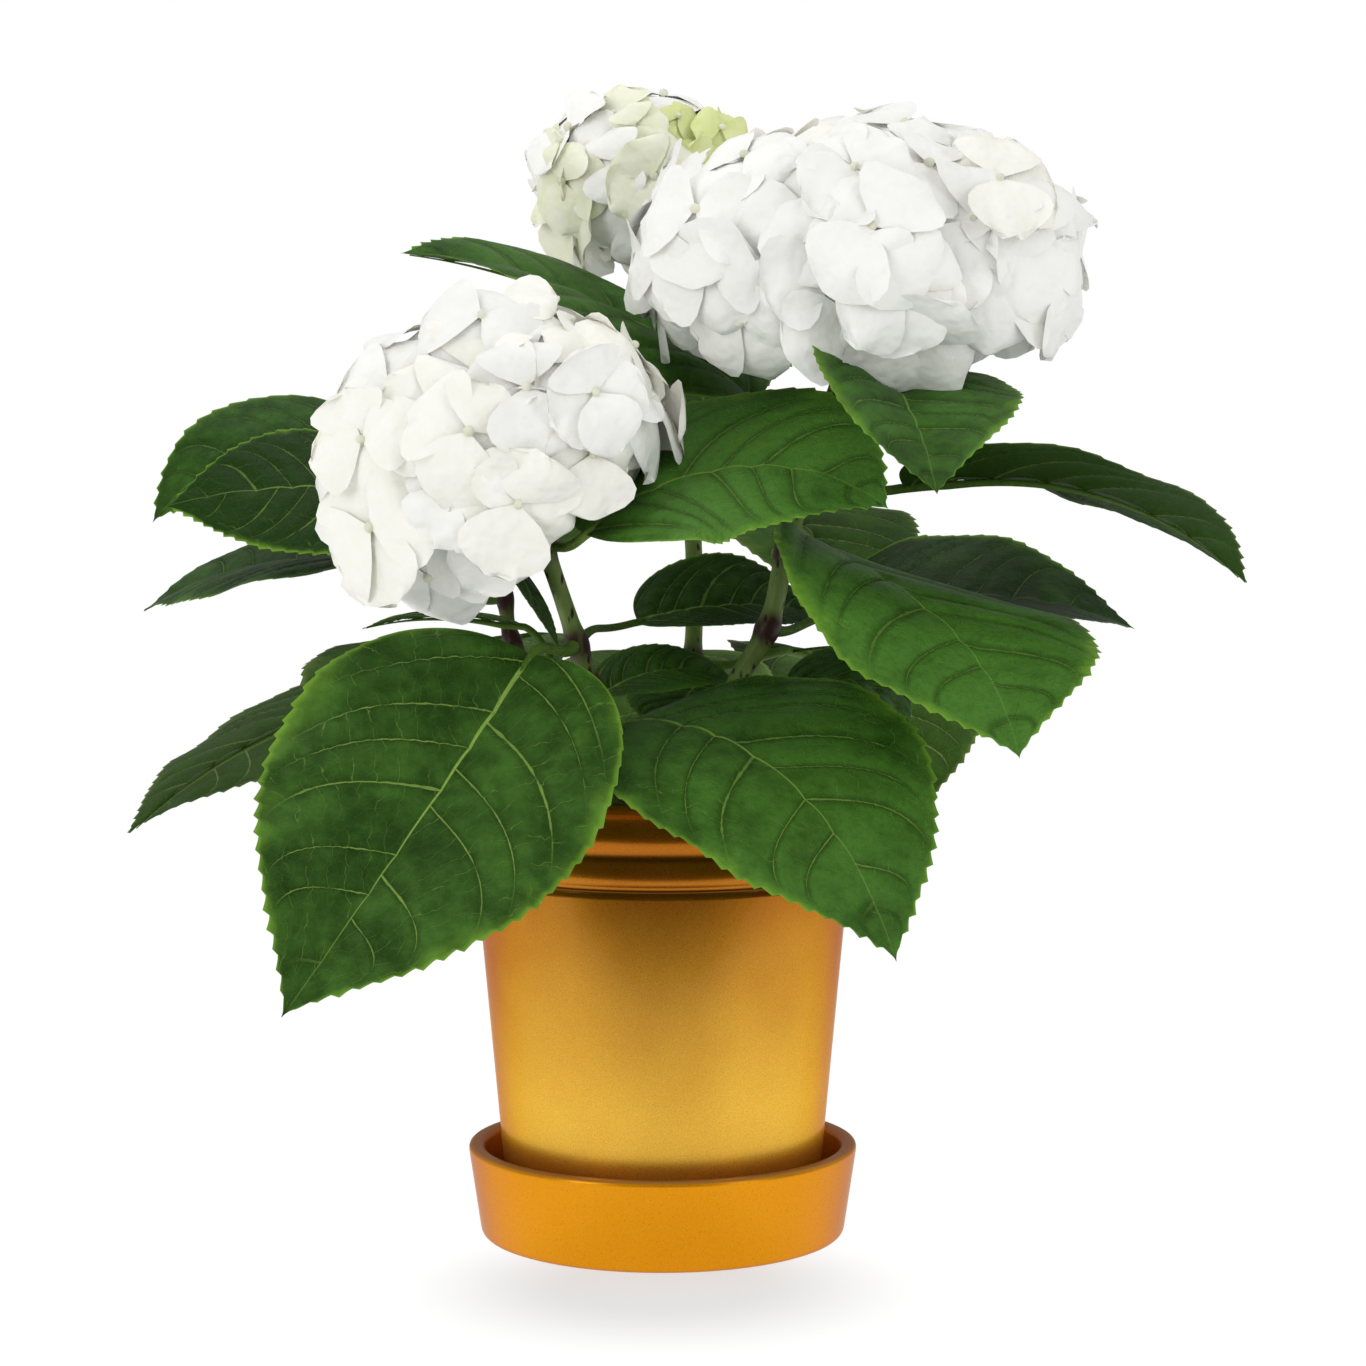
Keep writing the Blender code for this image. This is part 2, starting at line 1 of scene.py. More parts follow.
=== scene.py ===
# %% [markdown]
# # A potted hydrangea, given its finish
#
# The plant already exists as plain closed solids at their real size: a saucer, a pot, the
# compost, four stems, twenty-four leaves and three flower heads. This lesson makes the fine
# surface that each of them has on the real plant and puts it in the same place. All shapes
# are worked out with numpy as whole arrays, and all finishes are node materials.

# %% Load the plain solids
import math
from functools import partial
from typing import NamedTuple

import bpy
import numpy as np
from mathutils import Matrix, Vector


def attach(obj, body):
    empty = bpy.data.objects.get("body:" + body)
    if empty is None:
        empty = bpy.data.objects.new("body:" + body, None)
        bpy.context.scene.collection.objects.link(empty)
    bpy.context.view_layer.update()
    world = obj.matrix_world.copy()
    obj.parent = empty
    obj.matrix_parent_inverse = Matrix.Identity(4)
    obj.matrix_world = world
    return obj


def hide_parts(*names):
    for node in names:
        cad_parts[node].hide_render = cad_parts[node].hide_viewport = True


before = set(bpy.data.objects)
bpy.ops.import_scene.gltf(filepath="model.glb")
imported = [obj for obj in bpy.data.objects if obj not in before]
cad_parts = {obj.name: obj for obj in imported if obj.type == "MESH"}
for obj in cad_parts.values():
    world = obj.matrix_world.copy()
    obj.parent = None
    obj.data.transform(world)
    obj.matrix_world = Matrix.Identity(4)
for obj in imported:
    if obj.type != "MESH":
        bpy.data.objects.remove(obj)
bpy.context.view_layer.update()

MM = 0.001

# %% [markdown]
# ## One way to turn arrays into a mesh
#
# Every surface below is a grid of points. A mesh wants a list of points and a list of faces,
# so a few small functions do that step for all of them. Where a grid closes to one point, as
# at a leaf's tip, a four-cornered face names the same point twice, and the repeat is dropped.

# %% Grids, faces and meshes
def cells(grid):
    """The four corner values of every cell of a grid, in an order that makes a face.

    With rows running forward and columns to the left, the faces look up.
    """
    four = (grid[:-1, :-1], grid[1:, :-1], grid[1:, 1:], grid[:-1, 1:])
    return np.stack(four, axis=2).reshape(-1, 4, *grid.shape[2:])


def shell_numbers(rows, columns):
    """Point numbers of an upper and a lower grid that close to a shell.

    The first and the last row are one point each, and the lower grid, whose own points
    follow the upper ones, shares the upper one's rim.
    """
    upper = np.arange(rows * columns).reshape(rows, columns)
    upper[0] = upper[0, 0]
    upper[-1] = upper[-1, 0]
    lower = upper + rows * columns
    lower[[0, -1]] = upper[[0, -1]]
    lower[:, [0, -1]] = upper[:, [0, -1]]
    return upper, lower


def make_piece(name, points, quads, materials, uv=None, numbers=None, dealt=None, sharp=60):
    """A mesh object from whole arrays of points (n, 3) and corner numbers (m, 4).

    uv holds a pair for each corner, numbers a value for each point under its name, and dealt
    the material number of each face. Edges that turn by more than sharp degrees stay crisp.
    """
    keep = quads != np.roll(quads, -1, axis=1)
    whole = keep.sum(axis=1) > 2
    keep &= whole[:, None]
    used, corners = np.unique(quads[keep], return_inverse=True)
    sizes = keep.sum(axis=1)[whole]
    mesh = bpy.data.meshes.new(name)
    mesh.vertices.add(len(used))
    mesh.vertices.foreach_set("co", points[used].astype(np.float32).ravel())
    mesh.loops.add(len(corners))
    mesh.loops.foreach_set("vertex_index", corners.ravel().astype(np.int32))
    mesh.polygons.add(len(sizes))
    starts = np.concatenate([[0], np.cumsum(sizes)[:-1]])
    mesh.polygons.foreach_set("loop_start", starts.astype(np.int32))
    mesh.update(calc_edges=True)
    for material in materials:
        mesh.materials.append(material)
    if dealt is not None:
        mesh.polygons.foreach_set("material_index", dealt[whole].astype(np.int32))
    if uv is not None:
        layer = mesh.uv_layers.new(name="surface")
        layer.uv.foreach_set("vector", uv[keep].astype(np.float32).ravel())
    for label, values in (numbers or {}).items():
        attribute = mesh.attributes.new(label, "FLOAT", "POINT")
        attribute.data.foreach_set("value", values[used].astype(np.float32))
    mesh.shade_smooth()
    mesh.set_sharp_from_angle(angle=math.radians(sharp))
    piece = bpy.data.objects.new(name, mesh)
    bpy.context.scene.collection.objects.link(piece)
    return piece


def settle(piece, slot, *nodes):
    """Attach the piece to the root body and hide the plain solids it replaces. slot, its finish, is
    not used.
    """
    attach(piece, "root")
    if nodes:
        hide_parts(*nodes)
    print(f"{piece.name}: {len(piece.data.polygons)} faces")


# %% [markdown]
# ## Colours and nodes
#
# A colour picked on a screen isn't proportional to light, but a material wants light. One
# function makes that turn. Another adds a node, fills its sockets and gives back its output,
# so a material reads as a list of steps in the order in which they work. A material comes
# with that function already bound to its own tree, as add, and settings that come back often
# have a name.

# %% Helpers for materials
def linear(code):
    """A screen colour such as #e0902a as linear light: ((c + 0.055) / 1.055) to the 2.4."""
    screen = np.array([int(code[i:i + 2], 16) for i in (1, 3, 5)]) / 255
    light = np.where(screen <= 0.04045, screen / 12.92, ((screen + 0.055) / 1.055) ** 2.4)
    return (*light.tolist(), 1.0)


def fill(made, *values, **named):
    """Fill a node's sockets: values go to those in use, in order, named ones by their name.

    A value is a constant or another node's output, which is then linked.
    """
    in_use = [socket for socket in made.inputs if socket.enabled]
    chosen = [made.inputs[label.replace("_", " ")] for label in named]
    for socket, value in [*zip(in_use, values), *zip(chosen, named.values())]:
        if isinstance(value, bpy.types.NodeSocket):
            made.id_data.links.new(value, socket)
        else:
            socket.default_value = value


def node(tree, kind, *values, out=None, **named):
    """Add a node and give back its output: the first one in use, or the one out names.

    Named values in small letters, such as operation, are the node's settings. Those with a
    capital, such as Height, are sockets.
    """
    made = tree.nodes.new("ShaderNode" + kind)
    settings = {label: value for label, value in named.items() if label.islower()}
    for label, value in settings.items():
        setattr(made, label, value)
    fill(made, *values, **{label: named[label] for label in named if label not in settings})
    return made.outputs[out] if out else [each for each in made.outputs if each.enabled][0]


def new_material(name, **surface):
    """A material with one Principled shader. Returns the material, its add and its shader."""
    material = bpy.data.materials.new(name)
    material.use_nodes = True
    shader = material.node_tree.nodes["Principled BSDF"]
    fill(shader, **surface)
    return material, partial(node, material.node_tree), shader


# Settings that come back often: what a node mixes, how it eases, and what it works out.
COLOURS = {"data_type": "RGBA"}
SMOOTH = {"interpolation_type": "SMOOTHSTEP"}
TIMES, TIMES_PLUS = {"operation": "MULTIPLY"}, {"operation": "MULTIPLY_ADD"}
LESS, SIZE_OF = {"operation": "SUBTRACT"}, {"operation": "ABSOLUTE"}
print("mid grey as light:", linear("#808080"))

# %% [markdown]
# ## Camera, floor and light
#
# A potted plant shows best on a wide white table before a white backdrop, between two tall
# soft lamps and under a square one, in a white room that lightens every shadow. The camera
# stands 1.4 m in front of the pot with a long lens and looks slightly down. The table is one
# flat face that just fills the view: round the pot it is matt paper that takes the soft
# shadow and also glows at a little over half the backdrop's brightness, which lightens that
# shadow as painted light, and further out it glows as bright as the backdrop, so that no edge
# shows. A gloss sees less than that white room, dim behind the plant and dark before it, which
# keeps the depth in the glaze and in the leaves.

# %% Camera
CAMERA_PLACE = (8.2 * MM, -1396 * MM, 335.1 * MM)
CAMERA_PITCH = math.radians(4.62)        # down from the level
LENS = 92.24

lens = bpy.data.cameras.new("camera")
lens.lens = LENS
camera = bpy.data.objects.new("camera", lens)
camera.location = CAMERA_PLACE
camera.rotation_euler = (math.pi / 2 - CAMERA_PITCH, 0, 0)
bpy.context.scene.collection.objects.link(camera)
bpy.context.scene.camera = camera
bpy.context.scene.view_settings.view_transform = "Standard"
print("camera at", CAMERA_PLACE)

# %% Floor
TABLE_WIDTH = 3.0
TABLE_FRONT, TABLE_BACK = -0.38, 1.2
SHADOW_SPOT = (0.0, -92 * MM, 0.0)       # the paper takes a shadow only round this point
SHADOW_NEAR, SHADOW_FAR = 30 * MM, 105 * MM

corners = np.array([(x * TABLE_WIDTH, y, 0.0) for x, y in
                    ((-0.5, TABLE_FRONT), (0.5, TABLE_FRONT), (0.5, TABLE_BACK),
                     (-0.5, TABLE_BACK))])
paper, add, shader = new_material("white_paper_sweep", Roughness=0.9,
                                  Emission_Color=linear("#ffffff"))
distance = add("VectorMath", add("TexCoord", out="Object"), SHADOW_SPOT, operation="DISTANCE")
far = add("MapRange", distance, SHADOW_NEAR, SHADOW_FAR, **SMOOTH)
# The paper glows at 0.58 near the pot, painted light that lightens its shadow, and fully further
# out.
fill(shader, Base_Color=add("Mix", far, linear("#959597"), linear("#000000"), **COLOURS),
     Emission_Strength=add("MapRange", far, 0, 1, 0.58, 1.0))
floor = make_piece("floor", corners, np.array([[0, 1, 2, 3]]), [paper])

# %% Lamps and backdrop
def softbox(name, spot, aim, size, power):
    """An area lamp, its size a width and a height, that faces a point."""
    lamp = bpy.data.lights.new(name, "AREA")
    lamp.shape = "RECTANGLE"
    lamp.size, lamp.size_y = size
    lamp.energy = power
    thing = bpy.data.objects.new(name, lamp)
    thing.location = spot
    thing.rotation_euler = (Vector(aim) - Vector(spot)).to_track_quat("-Z", "Y").to_euler()
    bpy.context.scene.collection.objects.link(thing)


MIDDLE = (0, 0, 0.28)
softbox("key", (-1.4, -1.3, 0.80), MIDDLE, (0.7, 1.6), 8.5)
softbox("fill", (1.5, -1.3, 0.70), MIDDLE, (0.7, 1.6), 5.0)
softbox("top", (-0.2, 0.4, 1.8), MIDDLE, (1.1, 1.1), 5.0)

AMBIENT = 0.75                    # what the white room adds all round
MIRROR_FRONT, MIRROR_BACK = 0.06, 0.35       # what a gloss sees before and behind the plant

world = bpy.data.worlds.new("backdrop")
bpy.context.scene.world = world
world.use_nodes = True
add = partial(node, world.node_tree)
to_the_back = add("SeparateXYZ", add("TexCoord", out="Generated"), out="Y")
mirrored = add("MapRange", to_the_back, -0.2, 0.4, MIRROR_FRONT, MIRROR_BACK)
lit = add("MapRange", add("LightPath", out="Is Glossy Ray"), 0, 1, AMBIENT, mirrored)
strength = add("MapRange", add("LightPath", out="Is Camera Ray"), 0, 1, lit, 1.0)
fill(world.node_tree.nodes["Background"], Color=linear("#ffffff"), Strength=strength)
print("three softboxes and a white backdrop")

# %% [markdown]
# ## The sizes of the planter
#
# The pot and the saucer are slip-cast stoneware, turned shapes under a glossy glaze. A turned
# shape is one profile carried round an axis. The profile here is the same as the plain
# solid's, with the small roundings that a mould and a flowing glaze leave on every edge, and
# the collar's rings drawn with forty steps in place of nine.

# %% Sizes of pot and saucer
TURN_STEPS = 160
SAUCER_FOOT_RADIUS = 73.0 * MM
SAUCER_RIM_RADIUS = 78.5 * MM
SAUCER_HEIGHT = 37.0 * MM
SAUCER_WALL = 6.5 * MM
SAUCER_FLOOR = 6.0 * MM
POT_FOOT_HEIGHT = SAUCER_FLOOR + 0.3 * MM
POT_FOOT_RADIUS = 62.0 * MM
POT_NECK_RADIUS = 74.8 * MM
POT_NECK_HEIGHT = 146.0 * MM
POT_RIM_HEIGHT = 182.0 * MM
POT_WALL = 6.0 * MM
POT_FLOOR = 7.0 * MM
DRAIN_RADIUS = 8.0 * MM
COLLAR_RADIUS = 76.2 * MM
RING_DEPTH = 0.8 * MM
RING_PITCH = 14.5 * MM
RING_PEAK_HEIGHT = 154.0 * MM
COMPOST_HEIGHT = 163.0 * MM


def softened(corners, steps=6):
    """A profile whose corners are rounded off.

    Each corner is (radius, height, cut). The line leaves it at cut before the corner, bends
    round as a quadratic curve that aims at the corner, and goes on at cut after it.
    """
    line = [corners[0][:2]]
    for before, here, after in zip(corners, corners[1:], corners[2:]):
        spot = np.array(here[:2])
        back = np.array(before[:2]) - spot
        on = np.array(after[:2]) - spot
        start = spot + back / np.hypot(*back) * here[2]
        end = spot + on / np.hypot(*on) * here[2]
        t = np.linspace(0, 1, steps if here[2] > 0 else 1)[:, None]
        line.extend((1 - t) ** 2 * start + 2 * t * (1 - t) * spot + t ** 2 * end)
    line.append(corners[-1][:2])
    return np.array(line)


def turned(name, profile, ring, material):
    """Carry a profile of (radius, height) round Z: x = r cos a, y = r sin a, z = height.

    The profile runs down the outer side, so the faces look out. A ring joins its last point
    to its first one, and any other profile starts and ends on the axis.
    """
    angles = np.linspace(0, 2 * math.pi, TURN_STEPS, endpoint=False)
    radii, heights = profile[:, :1], profile[:, 1:]
    points = np.stack([radii * np.cos(angles), radii * np.sin(angles),
                       heights + 0 * angles], axis=-1)
    index = np.arange(radii.size * TURN_STEPS).reshape(-1, TURN_STEPS)
    index = np.hstack([index, index[:, :1]])
    if ring:
        index = np.vstack([index, index[:1]])
    else:
        index[0] = index[0, 0]
        index[-1] = index[-1, 0]
    return make_piece(name, points.reshape(-1, 3), cells(index), [material], sharp=40)


# %% [markdown]
# ## Ochre glaze
#
# The pot wears a lustre glaze: an ochre glass over a fine metallic bloom, which gives the wall
# a warm satin glow with a grainy shimmer under a clear, sharp gloss. The saucer wears the same
# ochre glaze with less of the bloom, a plain deep orange gloss. A glaze is a dielectric with
# an index near 1.5, so a thin coat layer gives its mirror-like skin, and the layer below holds
# the colour. That layer is a tinted metal, which would go white where it is seen at a low
# angle, so its rim light gets the glaze's own amber. The glaze runs thin at edges, where the
# clay shows paler, and pools brown in grooves, a darkening that also paints the shade in them.
# Its colour wanders with soft clouds of thicker glaze, and it is painted darker and browner
# towards the collar, for the shade that the leaves cast there.

# %% Glaze materials
GLAZE_IOR = 1.52
GRAIN = 0.45 * MM                 # size of one fleck of lustre
CLOUD = 45 * MM                   # size of the soft clouds where the glaze lies thicker
PAINTED_SHADE_HEIGHTS = (60 * MM, 160 * MM)    # heights between which the colour is painted darker, as shade
SHADED_POOL_REACH, EDGE_REACH = 2.6 * MM, 1.3 * MM
SKIN_WAVE, SKIN_DEPTH = 14 * MM, 0.12 * MM


def glaze_material(name, thin, thick_and_shaded, groove, edge, rim_light, lustre, edges, grooves):
    """A glaze whose colour wanders between thin and thick_and_shaded, and is painted darker with
    height as shade.

    edges are the heights at which it has run off an edge, grooves those at which it pools and shade
    is painted in.
    """
    material, add, shader = new_material(
        name, IOR=GLAZE_IOR, Specular_IOR_Level=0.15, Specular_Tint=linear(rim_light),
        Metallic=lustre, Coat_Weight=0.14, Coat_Roughness=0.06, Coat_IOR=GLAZE_IOR)
    place = add("TexCoord", out="Object")
    height = add("SeparateXYZ", place, out="Z")
    cloud = add("TexNoise", place, 1 / CLOUD, 3.0)
    grain = add("TexNoise", place, 1 / GRAIN, 1.0)
    # Soft clouds of thicker glaze, plus painted shade that darkens the wall towards the collar.
    spread = add("Math", cloud, 0.6, add("MapRange", height, *PAINTED_SHADE_HEIGHTS), **TIMES_PLUS)
    colour = add("Mix", add("MapRange", spread, 0.25, 1.25), linear(thin), linear(thick_and_shaded),
                 **COLOURS)
    fleck = add("MapRange", grain, 0.35, 0.65, 1 - lustre / 7, 1 + lustre / 7)
    colour = add("VectorMath", colour, fleck, operation="SCALE")
    # In the grooves the colour goes to groove: pooled glaze and painted shade together.
    for heights, tint, reach in ((grooves, groove, SHADED_POOL_REACH), (edges, edge, EDGE_REACH)):
        for level in heights:
            gap = add("Math", add("Math", height, level, **LESS), **SIZE_OF)
            near = add("MapRange", gap, reach, 0.0, 0.0, 0.75, **SMOOTH)
            colour = add("Mix", near, colour, linear(tint), **COLOURS)
    skin = add("Bump", Height=add("TexNoise", place, 1 / SKIN_WAVE, 1.0), Distance=SKIN_DEPTH,
               Strength=1.0)
    fill(shader, Base_Color=colour, Roughness=add("MapRange", grain, 0, 1, 0.22, 0.42),
         Coat_Normal=skin)
    return material


# The neck groove and a collar trough, where glaze pools and shade is painted.
SHADED_POOL_HEIGHTS = [POT_NECK_HEIGHT + 1.8 * MM, RING_PEAK_HEIGHT + 7 * MM]
wall_glaze = glaze_material("lustre_ochre_glaze", "#edb942", "#b86c16", "#3c2c05", "#b98a4a",
                            "#c8862c", 0.85, [POT_RIM_HEIGHT], SHADED_POOL_HEIGHTS)
saucer_glaze = glaze_material("plain_ochre_glaze", "#e8980a", "#da8408", "#8c5208", "#c9935c",
                              "#8a4c08", 0.55, [SAUCER_HEIGHT], [])
print("glazes:", wall_glaze.name, saucer_glaze.name)

# %% [markdown]
# ## Pot and saucer
#
# The saucer's profile runs from the middle of its floor out and up the inner wall, over the
# lip and down to the foot. The pot's profile is a closed ring, because the drain hole goes
# through its floor. Between rim and neck the collar's radius is a cosine of the height.

# %% Turn the pot and the saucer
def wall_radius(height):
    """Radius of the plain tapered wall: an even rise from the foot to the neck."""
    share = (height - POT_FOOT_HEIGHT) / (POT_NECK_HEIGHT - POT_FOOT_HEIGHT)
    return POT_FOOT_RADIUS + share * (POT_NECK_RADIUS - POT_FOOT_RADIUS)


def collar_radius(height):
    """Radius of the ringed collar: its mean plus a cosine wave of the height."""
    wave = np.cos(2 * math.pi * (height - RING_PEAK_HEIGHT) / RING_PITCH)
    return COLLAR_RADIUS + RING_DEPTH * wave


saucer_inner = SAUCER_FOOT_RADIUS - SAUCER_WALL
saucer_line = softened([
    (0.0, SAUCER_FLOOR, 0),
    (saucer_inner - 1 * MM, SAUCER_FLOOR, 4 * MM),
    (SAUCER_RIM_RADIUS - SAUCER_WALL, SAUCER_HEIGHT, 2.6 * MM),
    (SAUCER_RIM_RADIUS, SAUCER_HEIGHT, 2.6 * MM),
    (SAUCER_FOOT_RADIUS, 0.0, 3.2 * MM),
    (SAUCER_FOOT_RADIUS - 9 * MM, 0.0, 0.4 * MM),
    (SAUCER_FOOT_RADIUS - 10 * MM, 0.8 * MM, 0.4 * MM),
    (0.0, 0.8 * MM, 0)])
saucer = turned("glazed_saucer", saucer_line, False, saucer_glaze)
settle(saucer, "glaze", "saucer")

pot_floor = POT_FOOT_HEIGHT + POT_FLOOR
rim_radius = COLLAR_RADIUS + RING_DEPTH
inside = softened([
    (DRAIN_RADIUS, POT_FOOT_HEIGHT, 0),
    (DRAIN_RADIUS, pot_floor, 1.5 * MM),
    (wall_radius(pot_floor) - POT_WALL, pot_floor, 5 * MM),
    (POT_NECK_RADIUS - POT_WALL, POT_NECK_HEIGHT, 3 * MM),
    (rim_radius - POT_WALL, POT_RIM_HEIGHT, 2.8 * MM),
    (rim_radius, POT_RIM_HEIGHT, 2.8 * MM),
    (rim_radius, POT_RIM_HEIGHT - 4 * MM, 0)])
collar_heights = np.linspace(POT_RIM_HEIGHT - 5 * MM, POT_NECK_HEIGHT + 5 * MM, 40)
collar = np.stack([collar_radius(collar_heights), collar_heights], axis=-1)
outside = softened([
    (*collar[-1], 0),
    (COLLAR_RADIUS + 0.2 * MM, POT_NECK_HEIGHT + 3.2 * MM, 1.2 * MM),
    (POT_NECK_RADIUS - 1.0 * MM, POT_NECK_HEIGHT + 2.2 * MM, 0.7 * MM),
    (POT_NECK_RADIUS - 0.9 * MM, POT_NECK_HEIGHT + 0.6 * MM, 0.5 * MM),
    (POT_NECK_RADIUS, POT_NECK_HEIGHT - 0.6 * MM, 0.6 * MM),
    (wall_radius(100 * MM), 100 * MM, 0),
    (wall_radius(55 * MM), 55 * MM, 0),
    (POT_FOOT_RADIUS, POT_FOOT_HEIGHT, 2.4 * MM),
    (POT_FOOT_RADIUS - 14 * MM, POT_FOOT_HEIGHT, 0),
    (DRAIN_RADIUS + 1 * MM, POT_FOOT_HEIGHT, 0)])
pot = turned("glazed_pot", np.vstack([inside, collar[:-1], outside]), True, wall_glaze)
settle(pot, "glaze", "pot")

# %% [markdown]
# ## The sizes of the plant
#
# Stems, leaves and flower heads follow the rule that made the plain solids, so their sizes
# are said again here. A stem is a smooth path through a few points. A leaf has a joint on its
# stem, a foot where its stalk becomes the blade, and angles for how the blade sets off,
# droops, banks and folds. A flower head is a dome that leans, given by its centre and its
# three half sizes. A heavy head slumps on its left, and a young one is still small and green
# on one side. Lengths in these tables are millimetres and angles are degrees.

# %% Sizes of stems, leaves and flower heads
class Stem(NamedTuple):
    """A smooth path through a few points, thinning from foot to tip."""
    name: str
    foot_radius: float
    tip_radius: float
    path: tuple


class Leaf(NamedTuple):
    """Where the stalk leaves the stem, and how the blade lies."""
    name: str
    stem: str
    joint: float                  # height of its joint on the stem
    foot: tuple                   # point where the stalk becomes the blade
    heading: float                # compass direction of the blade at its foot, 0 = +X
    rise: float                   # slope of the blade at its foot, up is positive
    droop: float                  # how much that slope falls by the tip
    swing: float                  # how much the heading turns by the tip
    roll: float                   # bank of the blade at its foot
    twist: float                  # how much the bank turns by the tip
    fold: float                   # each half is lifted by this angle from the midrib
    cup: float                    # how far the margins curl down, share of half width
    length: float
    width: float
    sun: float                    # how far its margin is yellow-green, partly own colour and partly painted glow, 0 to 1
    tone: float                   # how light its green is, 0 to 1
    veined: float                 # how pale its veins are against the green, 0 to 1


class Bloom(NamedTuple):
    """A dome of four-petalled florets."""
    name: str
    stem: str
    centre: tuple
    radii: tuple                  # half sizes along X, Y and Z
    lean: tuple                   # direction in which the dome faces
    florets: int
    floret_radius: float
    wrap: float                   # angle from the dome's top to its lowest florets
    slump: float                  # how far its left side hangs, per length out from the middle
    youth: float                  # how far round the dome it is still small and green, 0 to 2
    bare: tuple                   # direction in which no floret stands


STEMS = (
    Stem("stem_left", 4.2, 3.3,
         ((-11, -9, 166), (-15, -11, 180), (-29, -20, 225), (-35, -24, 245),
          (-46, -34, 279), (-50, -38, 286))),
    Stem("stem_right", 4.4, 3.4,
         ((10, 1, 166), (12, 1, 180), (29, 2, 221), (42, 2, 244), (49, 0, 274),
          (61, -4, 319), (72, -8, 345), (76, -9, 356))),
    Stem("stem_back", 4.0, 3.0,
         ((7, 24, 166), (8, 32, 182), (12, 58, 225), (13, 72, 262), (10, 86, 310),
          (2, 98, 360), (-1, 104, 394))),
    Stem("stem_back_left", 3.4, 2.4,
         ((-16, 9, 166), (-21, 10, 180), (-57, 17, 230), (-64, 18, 256),
          (-68, 20, 290), (-70, 22, 306))),
)

LEAVES = (
    # front of the plant, low
    Leaf("leaf_front_left", "stem_left", 240, (-50, -54, 237), -124, -40, 2, -7, -20, -20,
         18, 0.13, 185, 134, 0.42, 0.38, 0.9),
    Leaf("leaf_front_right", "stem_left", 205, (-13, -27, 209), -43, 7, 75, 0, 12, 9,
         3, 0.0, 170, 132, 0.5, 0.62, 0.7),
    Leaf("leaf_left_low", "stem_back_left", 214, (-98, 12, 219), 151, -8, 35, 12, 17, -9,
         0, 0.13, 156, 99, 0.2, 0.15, 0.4),
    Leaf("leaf_right_low", "stem_right", 205, (50, 25, 216), -18, 34, 96, -8, 22, -30,
         8, 0.08, 62, 76, 0.2, 0.6, 0.4),
    # middle
    Leaf("leaf_right_front", "stem_right", 276, (54, -10, 280), -33, -17, 18, -53, -19, 34,
         7, 0.1, 170, 129, 0.6, 0.75, 0.4),
    Leaf("leaf_right_back", "stem_right", 244, (70, 37, 248), -5, 15, 37, 26, 6, 17,
         11, 0.0, 131, 122, 0.3, 0.2, 0.3),
    Leaf("leaf_left_mid", "stem_back_left", 256, (-102, 22, 269), 151, 6, 31, 0, -3, -24,
         12, 0.2, 140, 100, 0.2, 0.35, 0.4),
    Leaf("leaf_left_small", "stem_left", 222, (-56, -12, 246), 180, 14, 30, 0, 6, 0,
         8, 0.1, 64, 46, 0.1, 0.2, 0.3),
    Leaf("leaf_inner_upper", "stem_left", 240, (-10, 30, 245), 12, 16, 30, 0, 18, 18,
         14, 0.0, 80, 62, 0.2, 0.3, 0.6),
    Leaf("leaf_inner_lower", "stem_left", 205, (-24, 6, 217), 20, 33, 60, 0, 14, 10,
         12, 0.1, 60, 48, 0.2, 0.7, 0.8),
    Leaf("leaf_inner_pale", "stem_back", 226, (15, 43, 219), -112, -14, 28, 0, 0, 0,
         8, 0.0, 42, 50, 0.6, 0.9, 0.8),
    Leaf("leaf_inner_hanging", "stem_left", 279, (-68, -42, 284), -12, -48, 18, 0, -6, 6,
         4, 0.05, 54, 34, 0.0, 0.2, 0.2),
    # upper
    Leaf("leaf_centre", "stem_left", 279, (-29, -60, 284), 18, 41, 72, -60, 17, 27,
         6, 0.05, 131, 116, 0.5, 0.80, 0.5),
    Leaf("leaf_left", "stem_left", 279, (-92, -4, 298), -167, 8, 21, -17, -28, -24,
         0, 0.05, 106, 77, 0.8, 0.0, 0.5),
    Leaf("leaf_left_high", "stem_back_left", 292, (-96, 46, 291), 178, 48, 102, 13, -17, -27,
         9, 0.13, 130, 90, 0.3, 0.35, 0.35),
    Leaf("leaf_far_right", "stem_right", 304, (97, 11, 300), -12, 13, 57, 33, -10, 3,
         8, 0.03, 153, 109, 0.1, 0.0, 0.25),
    Leaf("leaf_under_bloom", "stem_right", 344, (86, -18, 347), -78, -16, 16, -8, -20, 25,
         21, 0.0, 115, 87, 0.6, 0.5, 0.5),
    Leaf("leaf_upper_left", "stem_right", 322, (37, 38, 334), 171, 40, 36, 39, -17, 0,
         20, 0.4, 162, 114, 0.7, 0.5, 0.3),
    # back of the plant
    Leaf("leaf_back_low_right", "stem_back", 226, (53, 76, 230), 56, -4, 66, 6, 0, 0,
         10, 0.1, 150, 112, 0.4, 0.4, 0.6),
    Leaf("leaf_back_low_left", "stem_back_left", 238, (-74, 56, 234), 112, 0, 70, 0, 0, 0,
         10, 0.1, 165, 118, 0.5, 0.45, 0.6),
    Leaf("leaf_back_low", "stem_back", 226, (0, 92, 226), 92, -10, 60, 0, 0, 0,
         10, 0.1, 140, 100, 0.3, 0.35, 0.6),
    Leaf("leaf_back_left", "stem_back", 284, (-16, 104, 290), 122, 14, 66, -10, 0, 0,
         10, 0.1, 145, 106, 0.5, 0.3, 0.6),
    Leaf("leaf_back_right", "stem_back", 284, (34, 108, 286), 62, 8, 66, 6, 0, 0,
         10, 0.1, 145, 106, 0.4, 0.4, 0.6),
    Leaf("leaf_back_high", "stem_back", 346, (8, 122, 350), 84, 14, 60, 0, 0, 0,
         10, 0.1, 125, 92, 0.6, 0.3, 0.6),
)

